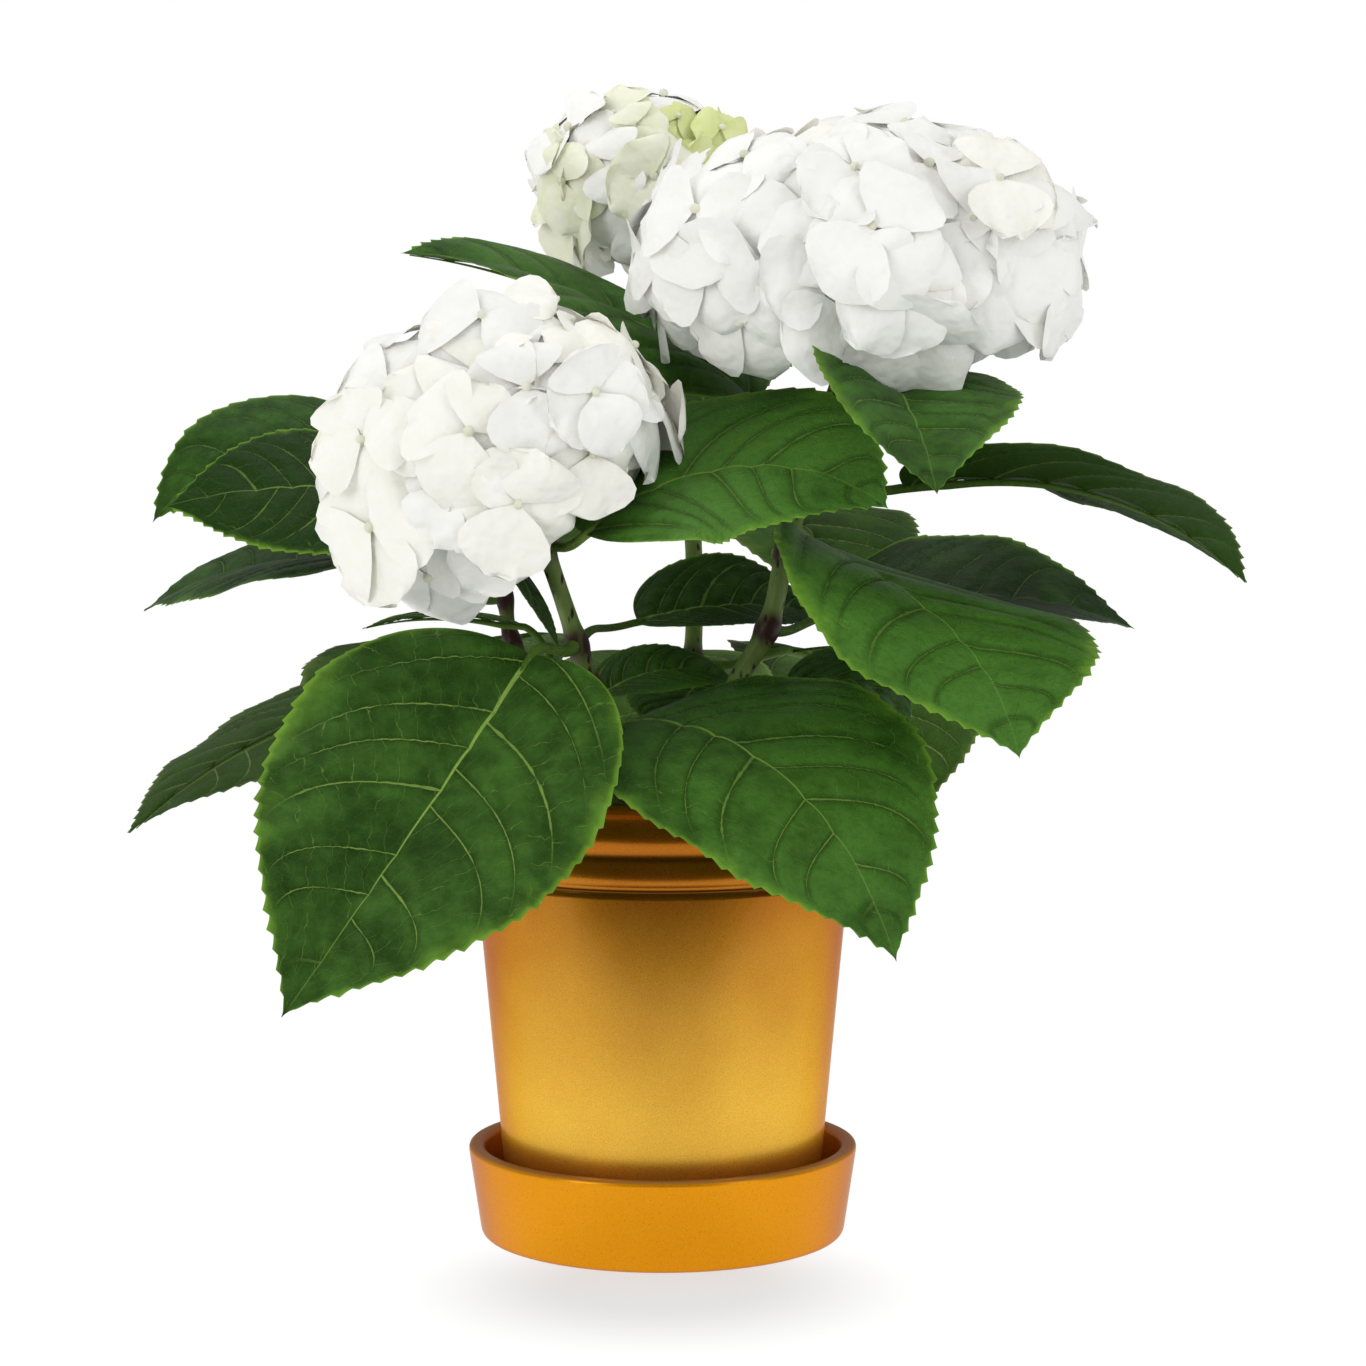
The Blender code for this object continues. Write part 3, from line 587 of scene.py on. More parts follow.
BLOOMS = (
    Bloom("bloom_left", "stem_left", (-61, -52, 319), (75, 62, 60), (-0.25, -0.45, 0.85),
          62, 26, 130, 0.22, 0.0, (0.80, -0.20, -0.56)),
    Bloom("bloom_right", "stem_right", (78, -10, 393), (96, 80, 54), (0.05, -0.15, 1.0),
          80, 27.5, 126, 0.0, 0.0, (0.0, 0.0, -1.0)),
    Bloom("bloom_back", "stem_back", (-4, 112, 427), (53, 50, 41), (-0.1, 0.1, 1.0),
          52, 22, 122, 0.0, 0.42, (0.0, 0.0, -1.0)),
)

STEM_BY_NAME = {stem.name: stem for stem in STEMS}
print(len(STEMS), "stems,", len(LEAVES), "leaves,", len(BLOOMS), "flower heads")

# %% [markdown]
# ## Tubes and balls
#
# Stems, leaf stalks, ribs and the fine stalks in a flower head are all tubes: a circle
# carried along a path. A tube's ends close to a point, so it is a sealed body. The same kind
# of grid makes balls, for the beads in the florets and the crumbs of the compost. Both work
# on many shapes at once, with the number of the shape as the first axis of every array.

# %% Tubes and balls
def wrapped_faces(count, rows, columns):
    """Corner numbers for many grids that close round their columns and at both end rows."""
    index = np.arange(rows * columns).reshape(rows, columns)
    index = np.hstack([index, index[:, :1]])
    index[0] = index[0, 0]
    index[-1] = index[-1, 0]
    quads = cells(index)
    shift = np.arange(count)[:, None, None] * rows * columns
    return (quads + shift).reshape(-1, 4)


def tubes(paths, radii, sides):
    """Tubes along many paths (n, k, 3) with a radius at each of their points (n, k).

    A point is path + radius (cos a side + sin a up), with side and up square to the path.
    Returns the points and the corner numbers.
    """
    along = np.gradient(paths, axis=1)
    along /= np.linalg.norm(along, axis=2, keepdims=True)
    steady = np.where(np.abs(along[:, :, 2:]).mean(axis=1, keepdims=True) > 0.8,
                      [[[1.0, 0.0, 0.0]]], [[[0.0, 0.0, 1.0]]])
    side = np.cross(steady + 0 * along, along)
    side /= np.linalg.norm(side, axis=2, keepdims=True)
    up = np.cross(along, side)
    angle = np.linspace(0, 2 * math.pi, sides, endpoint=False)
    ring = (side[:, :, None] * np.cos(angle)[:, None] + up[:, :, None] * np.sin(angle)[:, None])
    points = paths[:, :, None] + ring * radii[:, :, None, None]
    ends = paths[:, [0, -1], None] + 0 * points[:, :2]
    points = np.concatenate([ends[:, :1], points, ends[:, 1:]], axis=1)
    faces = wrapped_faces(len(paths), paths.shape[1] + 2, sides)
    return points.reshape(-1, 3), faces[:, ::-1]


def balls(centres, radii, rows, columns, lumps=0.0, seed=1):
    """Balls at many centres (n, 3) with radii (n, 3), their skins pushed about by lumps."""
    draw = np.random.default_rng(seed)
    polar, round_ = np.meshgrid(np.linspace(0, math.pi, rows),
                                np.linspace(0, 2 * math.pi, columns, endpoint=False),
                                indexing="ij")
    skin = np.stack([np.sin(polar) * np.cos(round_), np.sin(polar) * np.sin(round_),
                     np.cos(polar)], axis=-1)
    swell = 1 + lumps * draw.uniform(-1, 1, (len(centres), rows, columns, 1))
    points = centres[:, None, None] + skin * swell * radii[:, None, None]
    return points.reshape(-1, 3), wrapped_faces(len(centres), rows, columns)


def joined(shapes):
    """Several (points, faces) pairs as one pair."""
    starts = np.cumsum([0] + [len(points) for points, _ in shapes[:-1]])
    points = np.vstack([points for points, _ in shapes])
    return points, np.vstack([faces + start for (_, faces), start in zip(shapes, starts)])


def smooth_path(points, per_span=12):
    """Catmull-Rom curve: a cubic through each span that leaves its ends along the chord of
    the points on both sides."""
    points = np.array(points, dtype=float) * MM
    ends = np.vstack([2 * points[0] - points[1], points, 2 * points[-1] - points[-2]])
    before, start, end, after = ends[:-3, None], ends[1:-2, None], ends[2:-1, None], ends[3:, None]
    t = np.linspace(0, 1, per_span, endpoint=False)[:, None]
    curve = 0.5 * (2 * start + (end - before) * t
                   + (2 * before - 5 * start + 4 * end - after) * t ** 2
                   + (3 * start - 3 * end + after - before) * t ** 3)
    return np.vstack([curve.reshape(-1, 3), points[-1:]])


def noise(points, size, seed):
    """A smooth random value from -1 to 1: the mean of a dozen sine waves of about one size."""
    draw = np.random.default_rng(seed)
    ways = draw.normal(size=(12, 3))
    ways *= (2 * math.pi / size * draw.uniform(0.6, 1.5, 12) / np.linalg.norm(ways, axis=1))[:, None]
    waves = np.sin(points @ ways.T + draw.uniform(0, 2 * math.pi, 12))
    return waves.mean(axis=-1) * 2.2


# %% [markdown]
# ## Compost
#
# The pot is filled with dark peat compost: fine crumbs, bark chips and a slight mound round
# the stems. A flat disc with a bumpy material would do from far away, but the top view looks
# right into the pot. So the surface is a turned plug whose top is pushed up and down by three
# sizes of noise, with some hundred loose crumbs on it.

# %% Compost
COMPOST_CLEAR = 0.6 * MM
COMPOST_FALL = 5 * MM             # how much lower it lies at the wall than in the middle
LUMPS = ((22 * MM, 1.6 * MM), (9 * MM, 0.9 * MM), (4 * MM, 0.6 * MM))    # size and height
CRUMBS = 520

soil, add, shader = new_material("peat_compost", Roughness=0.95, Specular_IOR_Level=0.2)
place = add("TexCoord", out="Object")
fibre = add("TexNoise", place, 1 / (2.5 * MM), 5.0)
patch = add("TexNoise", place, 1 / (12 * MM), 2.0)
spread = add("MapRange", add("Math", fibre, patch, **TIMES), 0.15, 0.40)
earth = add("Mix", spread, linear("#1d130c"), linear("#57402b"), **COLOURS)
fill(shader, Base_Color=earth, Normal=add("Bump", Height=fibre, Distance=1.2 * MM))

neck_inner = POT_NECK_RADIUS - POT_WALL
top_radii = np.linspace(0, neck_inner - COMPOST_CLEAR - 1 * MM, 44)
fall = COMPOST_FALL * np.clip(top_radii / (neck_inner - 5 * MM), 0, 1) ** 4
base = POT_FOOT_HEIGHT + POT_FLOOR + 0.3 * MM
under = [(neck_inner - COMPOST_CLEAR, POT_NECK_HEIGHT),
         (wall_radius(base) - POT_WALL - COMPOST_CLEAR, base), (0.0, base)]
plug_line = np.vstack([np.stack([top_radii, COMPOST_HEIGHT - fall], axis=-1), under])
plug = turned("peat_compost", plug_line, False, soil)
co = np.empty(len(plug.data.vertices) * 3, np.float32)
plug.data.vertices.foreach_get("co", co)
co = co.reshape(-1, 3)
on_top = np.clip((co[:, 2] - 155 * MM) / (3 * MM), 0, 1)
co[:, 2] += on_top * sum(noise(co, size, seed) * high for seed, (size, high) in enumerate(LUMPS, 3))
plug.data.vertices.foreach_set("co", co.ravel())
settle(plug, "compost", "compost")

draw = np.random.default_rng(11)
away = neck_inner * 0.95 * np.sqrt(draw.uniform(0, 1, CRUMBS))
angle = draw.uniform(0, 2 * math.pi, CRUMBS)
spots = np.stack([away * np.cos(angle), away * np.sin(angle),
                  COMPOST_HEIGHT - COMPOST_FALL * (away / neck_inner) ** 4 + 0.5 * MM], axis=-1)
sizes = draw.uniform(0.8, 2.6, (CRUMBS, 1)) * draw.uniform(0.6, 1.3, (CRUMBS, 3)) * MM
crumbs = make_piece("compost_crumbs", *balls(spots, sizes, 5, 7, 0.22, 12), [soil], sharp=180)
settle(crumbs, "compost")

# %% [markdown]
# ## Green stems
#
# A hydrangea's young stem is green, round and slightly glossy, peppered with small dark
# corky dots, and it swells at each pair of leaves, where it often turns wine red. The tube's
# radius follows the plain solid's rule: an even taper plus a bell-shaped swelling at each
# joint. Redness fades away from the joint by the same bell, kept as a number on every point.

# %% Stems
JOINT_SWELL = 0.35
JOINT_SPREAD = 5 * MM
RED_SPREAD = 7 * MM
STEM_SIDES = 24


def joint_heights(stem):
    """Heights of the leaf joints on a stem."""
    return sorted({leaf.joint * MM for leaf in LEAVES if leaf.stem == stem.name})


def stem_point(stem, heights):
    """Centre line of the stem at the given heights."""
    curve = smooth_path(stem.path)
    return np.stack([np.interp(heights, curve[:, 2], curve[:, i]) for i in range(3)], axis=-1)


def joint_bell(stem, heights, spread):
    """1 at a leaf joint, falling to 0 along a bell curve on both sides."""
    bells = [np.exp(-((heights - joint) / spread) ** 2) for joint in joint_heights(stem)]
    return np.minimum(sum(bells), 1)


def stem_radius(stem, heights):
    """An even taper from foot to tip, swollen at each leaf joint."""
    low, high = stem.path[0][2] * MM, stem.path[-1][2] * MM
    share = np.clip((heights - low) / (high - low), 0, 1)
    even = (stem.foot_radius + (stem.tip_radius - stem.foot_radius) * share) * MM
    return even * (1 + JOINT_SWELL * joint_bell(stem, heights, JOINT_SPREAD))


bark, add, shader = new_material("green_stem", Roughness=0.42, IOR=1.45)
long = add("Mapping", add("TexCoord", out="Object"), Scale=(1.0, 1.0, 0.35))
mottle = add("TexNoise", long, 1 / (5 * MM), 3.0)
skin = add("Mix", mottle, linear("#3d5a1a"), linear("#8aa150"), **COLOURS)
speck = add("MapRange", add("TexVoronoi", long, 1 / (3 * MM), feature="F1"), 0.32, 0.18)
skin = add("Mix", speck, skin, linear("#26140f"), **COLOURS)
joint = add("Attribute", attribute_name="joint", out="Fac")
redness = add("MapRange", add("Math", joint, mottle, **TIMES), 0.12, 0.42)
skin = add("Mix", redness, skin, linear("#3c1a16"), **COLOURS)
fill(shader, Base_Color=skin, Normal=add("Bump", Height=speck, Distance=0.25 * MM))

for stem in STEMS:
    heights = np.linspace(COMPOST_HEIGHT - 2 * MM, stem.path[-1][2] * MM, 110)
    path = stem_point(stem, np.maximum(heights, stem.path[0][2] * MM))
    path[:, 2] = heights
    radii = stem_radius(stem, heights)
    radii = radii * (1 + 0.03 * noise(path, 16 * MM, 21))
    points, faces = tubes(path[None], radii[None], STEM_SIDES)
    level = np.concatenate([heights[:1], heights, heights[-1:]])
    red = np.repeat(joint_bell(stem, level, RED_SPREAD), STEM_SIDES)
    piece = make_piece(stem.name + "_bark", points, faces, [bark], numbers={"joint": red})
    settle(piece, "stem", stem.name)

# %% [markdown]
# ## The shape of a leaf
#
# The blade is a thin shell: an upper and a lower surface that meet along the margin. Both are
# functions of a place on the flat leaf, x along the midrib and w across it, which the rule
# of the plain solid then bends into space. Three things are added to that rule. The margin
# carries forward-leaning teeth. The side veins sink into the upper face and the tissue between
# them puffs up, as on a quilt. And the margin ripples gently.
#
# A side vein leaves the midrib at about sixty degrees and bows towards the tip, most where
# the blade is broad. At the share q of the greatest half width, and t of the half width
# there, it has run ahead of its root by half (lean q + bow t^power (0.3 + 0.7 outline)). So
# any point of the blade belongs to a root on the midrib, and counting veins along the midrib
# turns that root into a vein number: whole on a vein and a half between two of them. The
# cross veins run square to the side veins and get a measure of their own.

# %% Leaf rule
TOOTH_PITCH = 8.0 * MM            # on the largest leaf, less on smaller ones
TOOTH_DEPTH = 1.6 * MM
TOOTH_PHASES = (0.0, 0.2, 0.35, 0.5, 0.7, 0.85)
TOOTH_PEAK = 0.7                  # share of a tooth at which it stands furthest out
TOOTH_LUCK = (0.55, 1.15)         # least and most size of a tooth
TOOTH_AHEAD = 0.9                 # how far its point leans forward, share of its reach
BLADE_THICKNESS = 0.5 * MM
COLUMNS = 17                      # grid lines across each half of the blade
RIB_STEPS = 160                   # steps in which the midrib's bends are summed up
VEINS = 7                         # side veins on each side
VEIN_FIRST, VEIN_LAST = 0.02, 0.97           # roots of the outermost, shares of the length
VEIN_EASE = 1.12                  # above 1 packs them towards the foot
VEIN_LEAN = (0.50, 0.50, 3.5)     # lean, bow and power in the rule above
VEIN_STRAY = 0.17                 # how unevenly the side veins are spaced
HALF_STAGGER = 0.4                # the right half's veins stand this far ahead
QUILT = 1.8 * MM                  # how far the tissue puffs up between two side veins
MIDRIB_GROOVE, GROOVE_WIDTH = 0.7 * MM, 1.7 * MM
RIPPLE = 1.6 * MM                 # of the margin, in a long and a short wave
RIPPLE_LONG, RIPPLE_SHORT = 15 * MM, 7 * MM
SWAY = 1.3 * MM                   # how far a half of the blade sways up and down
HEM = 0.86                        # share of the half width beyond which the teeth begin
LARGEST_LEAF = 185                # millimetres, the size that these depths are for


def outline(s):
    """Half width of a blade along its length, 0 to 1: round foot, drawn-out tip."""
    return np.sin(np.pi * s ** 0.72) ** 0.55 * (1 - s ** 6)


def blade_frame(leaf, s):
    """Midrib points with their forward, sideways and upward directions at shares s.

    Heading and slope change evenly along the blade, and the midrib is their running sum.
    """
    fine = np.linspace(0, 1, RIB_STEPS + 1)
    heading = np.radians(leaf.heading + leaf.swing * fine)
    slope = np.radians(leaf.rise - leaf.droop * fine)
    forward = np.stack([np.cos(slope) * np.cos(heading),
                        np.cos(slope) * np.sin(heading), np.sin(slope)], axis=-1)
    steps = (forward[1:] + forward[:-1]) / 2 * (leaf.length * MM / RIB_STEPS)
    rib = np.vstack([np.zeros(3), np.cumsum(steps, axis=0)]) + np.array(leaf.foot) * MM
    level = np.stack([-np.sin(heading), np.cos(heading), 0 * heading], axis=-1)
    bank = np.radians(leaf.roll + leaf.twist * fine)[:, None]
    square = np.cross(forward, level)
    side = level * np.cos(bank) + square * np.sin(bank)
    up = square * np.cos(bank) - level * np.sin(bank)
    return [np.stack([np.interp(s, fine, way[:, i]) for i in range(3)], axis=-1)
            for way in (rib, forward, side, up)]


def tooth_rows(leaf):
    """Shares of the length for the grid's rows, six to a tooth, even along the margin."""
    fine = np.linspace(0, 1, 4001)
    half = leaf.width / 2 * outline(fine)
    margin = np.concatenate([[0], np.cumsum(np.hypot(np.diff(fine) * leaf.length,
                                                     np.diff(half)))]) * MM
    pitch = TOOTH_PITCH * (leaf.length / LARGEST_LEAF) ** 0.6
    teeth = round(margin[-1] / pitch)
    phase = (np.arange(teeth)[:, None] + np.array(TOOTH_PHASES)).ravel()
    phase = np.append(phase, teeth)
    return np.interp(phase / teeth, margin / margin[-1], fine), phase, pitch


def tooth(phase):
    """How far the margin stands out: a slow rise to the tooth's point, then a quick fall."""
    share = phase % 1.0
    rise = (np.minimum(share / TOOTH_PEAK, 1)) ** 1.3
    fall = (1 - share) / (1 - TOOTH_PEAK)
    return np.where(share <= TOOTH_PEAK, rise, fall)


def vein_slope(q):
    """How far a side vein runs ahead for each step across, at share q of the half width."""
    lean, bow, power = VEIN_LEAN
    return lean + bow * power * q ** (power - 1)


def vein_number(leaf, s, w):
    """Which side vein a place belongs to (whole numbers lie on a vein), and the space there."""
    lean, bow, power = VEIN_LEAN
    half = leaf.width * MM / 2
    q = np.abs(w) / half
    t = np.clip(q / np.maximum(outline(s), 0.05), 0, 1)
    ahead = lean * q + bow * t ** power * (0.3 + 0.7 * outline(s))
    root = s - half / (leaf.length * MM) * ahead
    share = np.maximum((root - VEIN_FIRST) / (VEIN_LAST - VEIN_FIRST), -0.35)
    number = np.where(share > 0, VEINS * np.maximum(share, 1e-9) ** (1 / VEIN_EASE),
                      share * 0.8 * VEINS)
    step = VEIN_EASE / VEINS * np.clip(number / VEINS, 0.05, 1) ** (VEIN_EASE - 1)
    return number, leaf.length * step / np.hypot(1, vein_slope(t))


def rung_place(leaf, s, w):
    """A measure in millimetres that is constant along lines square to the side veins.

    Such a line falls back across the blade as fast as a vein runs ahead, so the measure is
    the length along the midrib plus the sum of 1 / slope over the way across.
    """
    fine = np.linspace(0, 1.3, 261)
    across = np.concatenate([[0], np.cumsum(np.diff(fine) / vein_slope((fine[1:] + fine[:-1]) / 2))])
    q = np.abs(w) / (leaf.width * MM / 2)
    return leaf.length * s + leaf.width / 2 * np.interp(q, fine, across)


def leaf_surface(leaf, seed):
    """The blade's two faces as grids, with what its finish needs to know at each point."""
    draw = np.random.default_rng(seed)
    s, phase, pitch = tooth_rows(leaf)
    t = np.sin(np.linspace(-1, 1, 2 * COLUMNS + 1) * math.pi / 2 * 0.86)
    t /= t[-1]
    half = leaf.width * MM / 2
    scale = leaf.length / LARGEST_LEAF
    s, t = np.meshgrid(s, t, indexing="ij")
    right = (t > 0).astype(int)
    broad = outline(s)

    # Teeth: they push the margin out and a little forward.
    phase = phase[:, None] + 0.5 * right
    size = draw.uniform(*TOOTH_LUCK, (int(phase[-1, 0]) + 2, 2))
    size = size[np.floor(phase).astype(int), right]
    grown = np.clip((s - 0.04) / 0.12, 0, 1) * np.clip((0.985 - s) / 0.04, 0, 1)
    hem = np.clip((np.abs(t) - HEM) / (1 - HEM), 0, 1) ** 2
    reach = TOOTH_DEPTH * scale ** 0.6 * tooth(phase) * size * grown * hem
    w = t * half * broad + np.sign(t) * reach

    # Side veins: their number at each point, a little uneven and staggered at the midrib.
    numbers, spacing = vein_number(leaf, s, w)
    stray = draw.uniform(0, 2 * math.pi, 2)[right]
    numbers += VEIN_STRAY * (np.sin(2.4 * numbers + stray) - np.sin(stray)) + HALF_STAGGER * right

    # Height over the plain blade: the quilt, the midrib's groove and the ripples.
    calm = np.clip(broad * 1.6, 0, 1) * (1 - 0.9 * np.abs(t) ** 4)
    quilt = QUILT * scale ** 0.5 * np.abs(np.sin(math.pi * numbers)) ** 0.6 * calm
    groove = MIDRIB_GROOVE * np.exp(-(w / GROOVE_WIDTH) ** 2) * (1 - s)
    turn = draw.uniform(0, 2 * math.pi, 2)
    wave = (np.sin(phase * pitch / RIPPLE_LONG + turn[0])
            + 0.6 * np.sin(phase * pitch / RIPPLE_SHORT + turn[1]))
    ripple = RIPPLE * scale * wave * np.abs(t) ** 2.5 * np.clip(s / 0.15, 0, 1) * broad
    sway = SWAY * scale * np.sin(s * 7 + turn[1]) * np.abs(t)
    fold = math.radians(leaf.fold)
    lift = np.abs(w) * math.sin(fold) - leaf.cup * w ** 2 / half + quilt - groove + ripple + sway

    rib, forward, side, up = (way[:, None] for way in blade_frame(leaf, s[:, 0]))
    top = (rib + forward * (TOOTH_AHEAD * reach)[..., None]
           + side * (w * math.cos(fold))[..., None] + up * lift[..., None])
    full = np.clip((1 - np.abs(t)) / 0.06, 0, 1) * np.clip(broad * 8, 0, 1)
    below = top - up * (BLADE_THICKNESS * full)[..., None]
    known = {"across": np.abs(t), "along": s, "spacing": spacing, "rung": rung_place(leaf, s, w)}
    return top, below, w, numbers, known


# %% [markdown]
# ## Stalks
#
# The stalk leaves the stem at the joint, bends into the blade's foot and runs on under it as
# the midrib, thinning all the way to the tip. It is one tube with the path of the plain solid.

# %% Stalk and midrib
STALK_RADIUS = 2.1 * MM
STALK_FLARE = 0.35                # how much wider it is where it leaves the stem
STALK_ROOT = 2.5 * MM             # how deep it goes into the stem
STALK_BEND = 0.35                 # length of the bend's handles, share of the way
RIB_TIP_RADIUS = 0.25 * MM
RIB_ENDS = (0.015, 0.97)          # shares of the blade between which the midrib runs


def stalk_path(leaf):
    """Out of the joint, a cubic bend to the blade's foot, then under the blade.

    The radius falls to the stalk's own as the sixth power of the way that is left, and to
    the midrib's tip as the power 1.3.
    """
    stem = STEM_BY_NAME[leaf.stem]
    below, centre, above = stem_point(stem, (leaf.joint + np.array([-2, 0, 2])) * MM)
    along = (above - below) / np.linalg.norm(above - below)
    foot = np.array(leaf.foot) * MM
    out = foot - centre
    out -= along * out.dot(along)
    out /= np.linalg.norm(out)
    start = centre + out * stem_radius(stem, np.array([leaf.joint * MM]))[0]
    shares = np.linspace(*RIB_ENDS, 30)
    rib, _, _, up = blade_frame(leaf, shares)
    _, ways, _, _ = blade_frame(leaf, np.array([0.0]))
    reach = np.linalg.norm(foot - start)
    one, two = start + out * reach * STALK_BEND, foot - ways[0] * reach * STALK_BEND
    t = np.linspace(0, 1, 22, endpoint=False)[:, None]
    bend = ((start + out * 2 * MM) * (1 - t) ** 3 + one * 3 * t * (1 - t) ** 2
            + two * 3 * t ** 2 * (1 - t) + foot * t ** 3)
    stalk = STALK_RADIUS * (1 + STALK_FLARE * (1 - t[:, 0]) ** 6)
    thin = RIB_TIP_RADIUS + (STALK_RADIUS - RIB_TIP_RADIUS) * (1 - shares) ** 1.3
    radii = np.concatenate([[STALK_RADIUS * 1.5], stalk, thin])
    radii *= (leaf.length / LARGEST_LEAF) ** 0.35
    sink = radii[-len(shares):] * np.clip(shares / 0.12, 0, 1) * 1.05 + 0.2 * MM
    under = rib - up * sink[:, None]
    return np.vstack([start - out * STALK_ROOT, bend, under]), radii


# %% [markdown]
# ## Leaf finish
#
# The upper face of a hydrangea leaf is a waxy cuticle over dark green tissue: a dielectric of
# index 1.45, half gloss, never a mirror. Midrib and side veins are paler and yellower. Fine
# cross veins grow out of the side veins and fade before they meet the next one, over a faint
# net of still finer ones. The green is cloudy, painted darker in the valley of each side vein
# for the shade that falls there, and yellow-green towards the margin of many leaves, partly as
# the leaf's own colour and partly as painted light shining through the thin margin, with a thin
# light hem on all. The lower face is paler and matt, with its veins standing out. The surface
# map holds the vein number in U and the distance from the midrib in V, in centimetres, so both
# sets of veins are simple stripes in it.

# %% Lines of the veins
RUNG_PITCH = 15.0                 # from one cross vein to the next, in the rung measure
NET_SIZE = 4.6 * MM               # cells of the net of fine veins
FINE_NET_SIZE = 1.3 * MM
VEIN_BLUR = 0.28                  # soft edge of a vein's line, millimetres


def rib_and_side_lines(add, known, count, from_rib, patch, vein_half):
    """How much midrib and side vein a place has, 0 to 1, and its gap to the side vein in mm.

    The gap to a side vein is the vein number's distance from a whole number times the space
    between two veins. A line is where the gap is under half its width. The width shrinks
    towards the rim or the tip, and the line fades there.
    """
    beside = add("Math", count, 0.5, operation="PINGPONG")
    wander = add("Math", patch, 1.1, -0.55, **TIMES_PLUS)
    side_gap = add("Math", add("Math", beside, known["spacing"], wander, **TIMES_PLUS), **SIZE_OF)
    width = add("Math", known["across"], -vein_half, 1.2 * vein_half, **TIMES_PLUS)
    side = add("MapRange", add("Math", side_gap, width, **LESS), VEIN_BLUR, 0.0, **SMOOTH)
    for label, gone, whole in (("across", 0.98, 0.62), ("along", 0.92, 0.74)):
        side = add("Math", side, add("MapRange", known[label], gone, whole, **SMOOTH), **TIMES)
    to_tip = add("Math", add("Math", 1.0, known["along"], **LESS), 2.5, operation="POWER")
    rib_gap = add("Math", from_rib, add("Math", to_tip, 0.95, 0.04, **TIMES_PLUS), **LESS)
    rib = add("MapRange", rib_gap, VEIN_BLUR, 0.0, **SMOOTH)
    rib = add("Math", rib, add("MapRange", known["along"], 1.3, 0.3, **SMOOTH), **TIMES)
    return rib, side, side_gap, beside


def rung_lines(add, known, count, beside, cloud, patch):
    """How much cross vein a place has, 0 to 1: stripes in the rung measure.

    Each side of each side vein has its own shift of the stripes, and each stripe its own
    reach out from the vein, drawn by lot, at which it has faded.
    """
    row = add("Math", add("Math", count, 2.0, **TIMES), operation="FLOOR")
    shift = add("TexWhiteNoise", row, noise_dimensions="1D")
    rung = add("Math", known["rung"], 1 / RUNG_PITCH, shift, **TIMES_PLUS)
    rung = add("Math", cloud, 2.2, add("Math", rung, 1.1, **LESS), **TIMES_PLUS)
    rung = add("Math", patch, 0.60, add("Math", rung, 0.30, **LESS), **TIMES_PLUS)
    lot = add("TexWhiteNoise", add("CombineXYZ", add("Math", rung, operation="ROUND"), row))
    reach = add("Math", lot, 1.1, 0.10, **TIMES_PLUS)
    fade = add("Math", 1.0, add("Math", beside, reach, operation="DIVIDE"), **LESS)
    line = add("MapRange", add("Math", rung, 0.5, operation="PINGPONG"), 0.030, 0.006, **SMOOTH)
    return add("Math", line, add("MapRange", fade, 0.0, 0.8, **SMOOTH), **TIMES)


# %% Leaf materials
LINE_COLOURS = (0.03, 0.05, 0.30, 0.66)      # strength of fine net, net, cross and side veins
LINE_HEIGHTS = (0.12, 0.25, 0.60, 0.80)      # how far they stand out on the lower face
LEAF_BUMP = 0.35 * MM


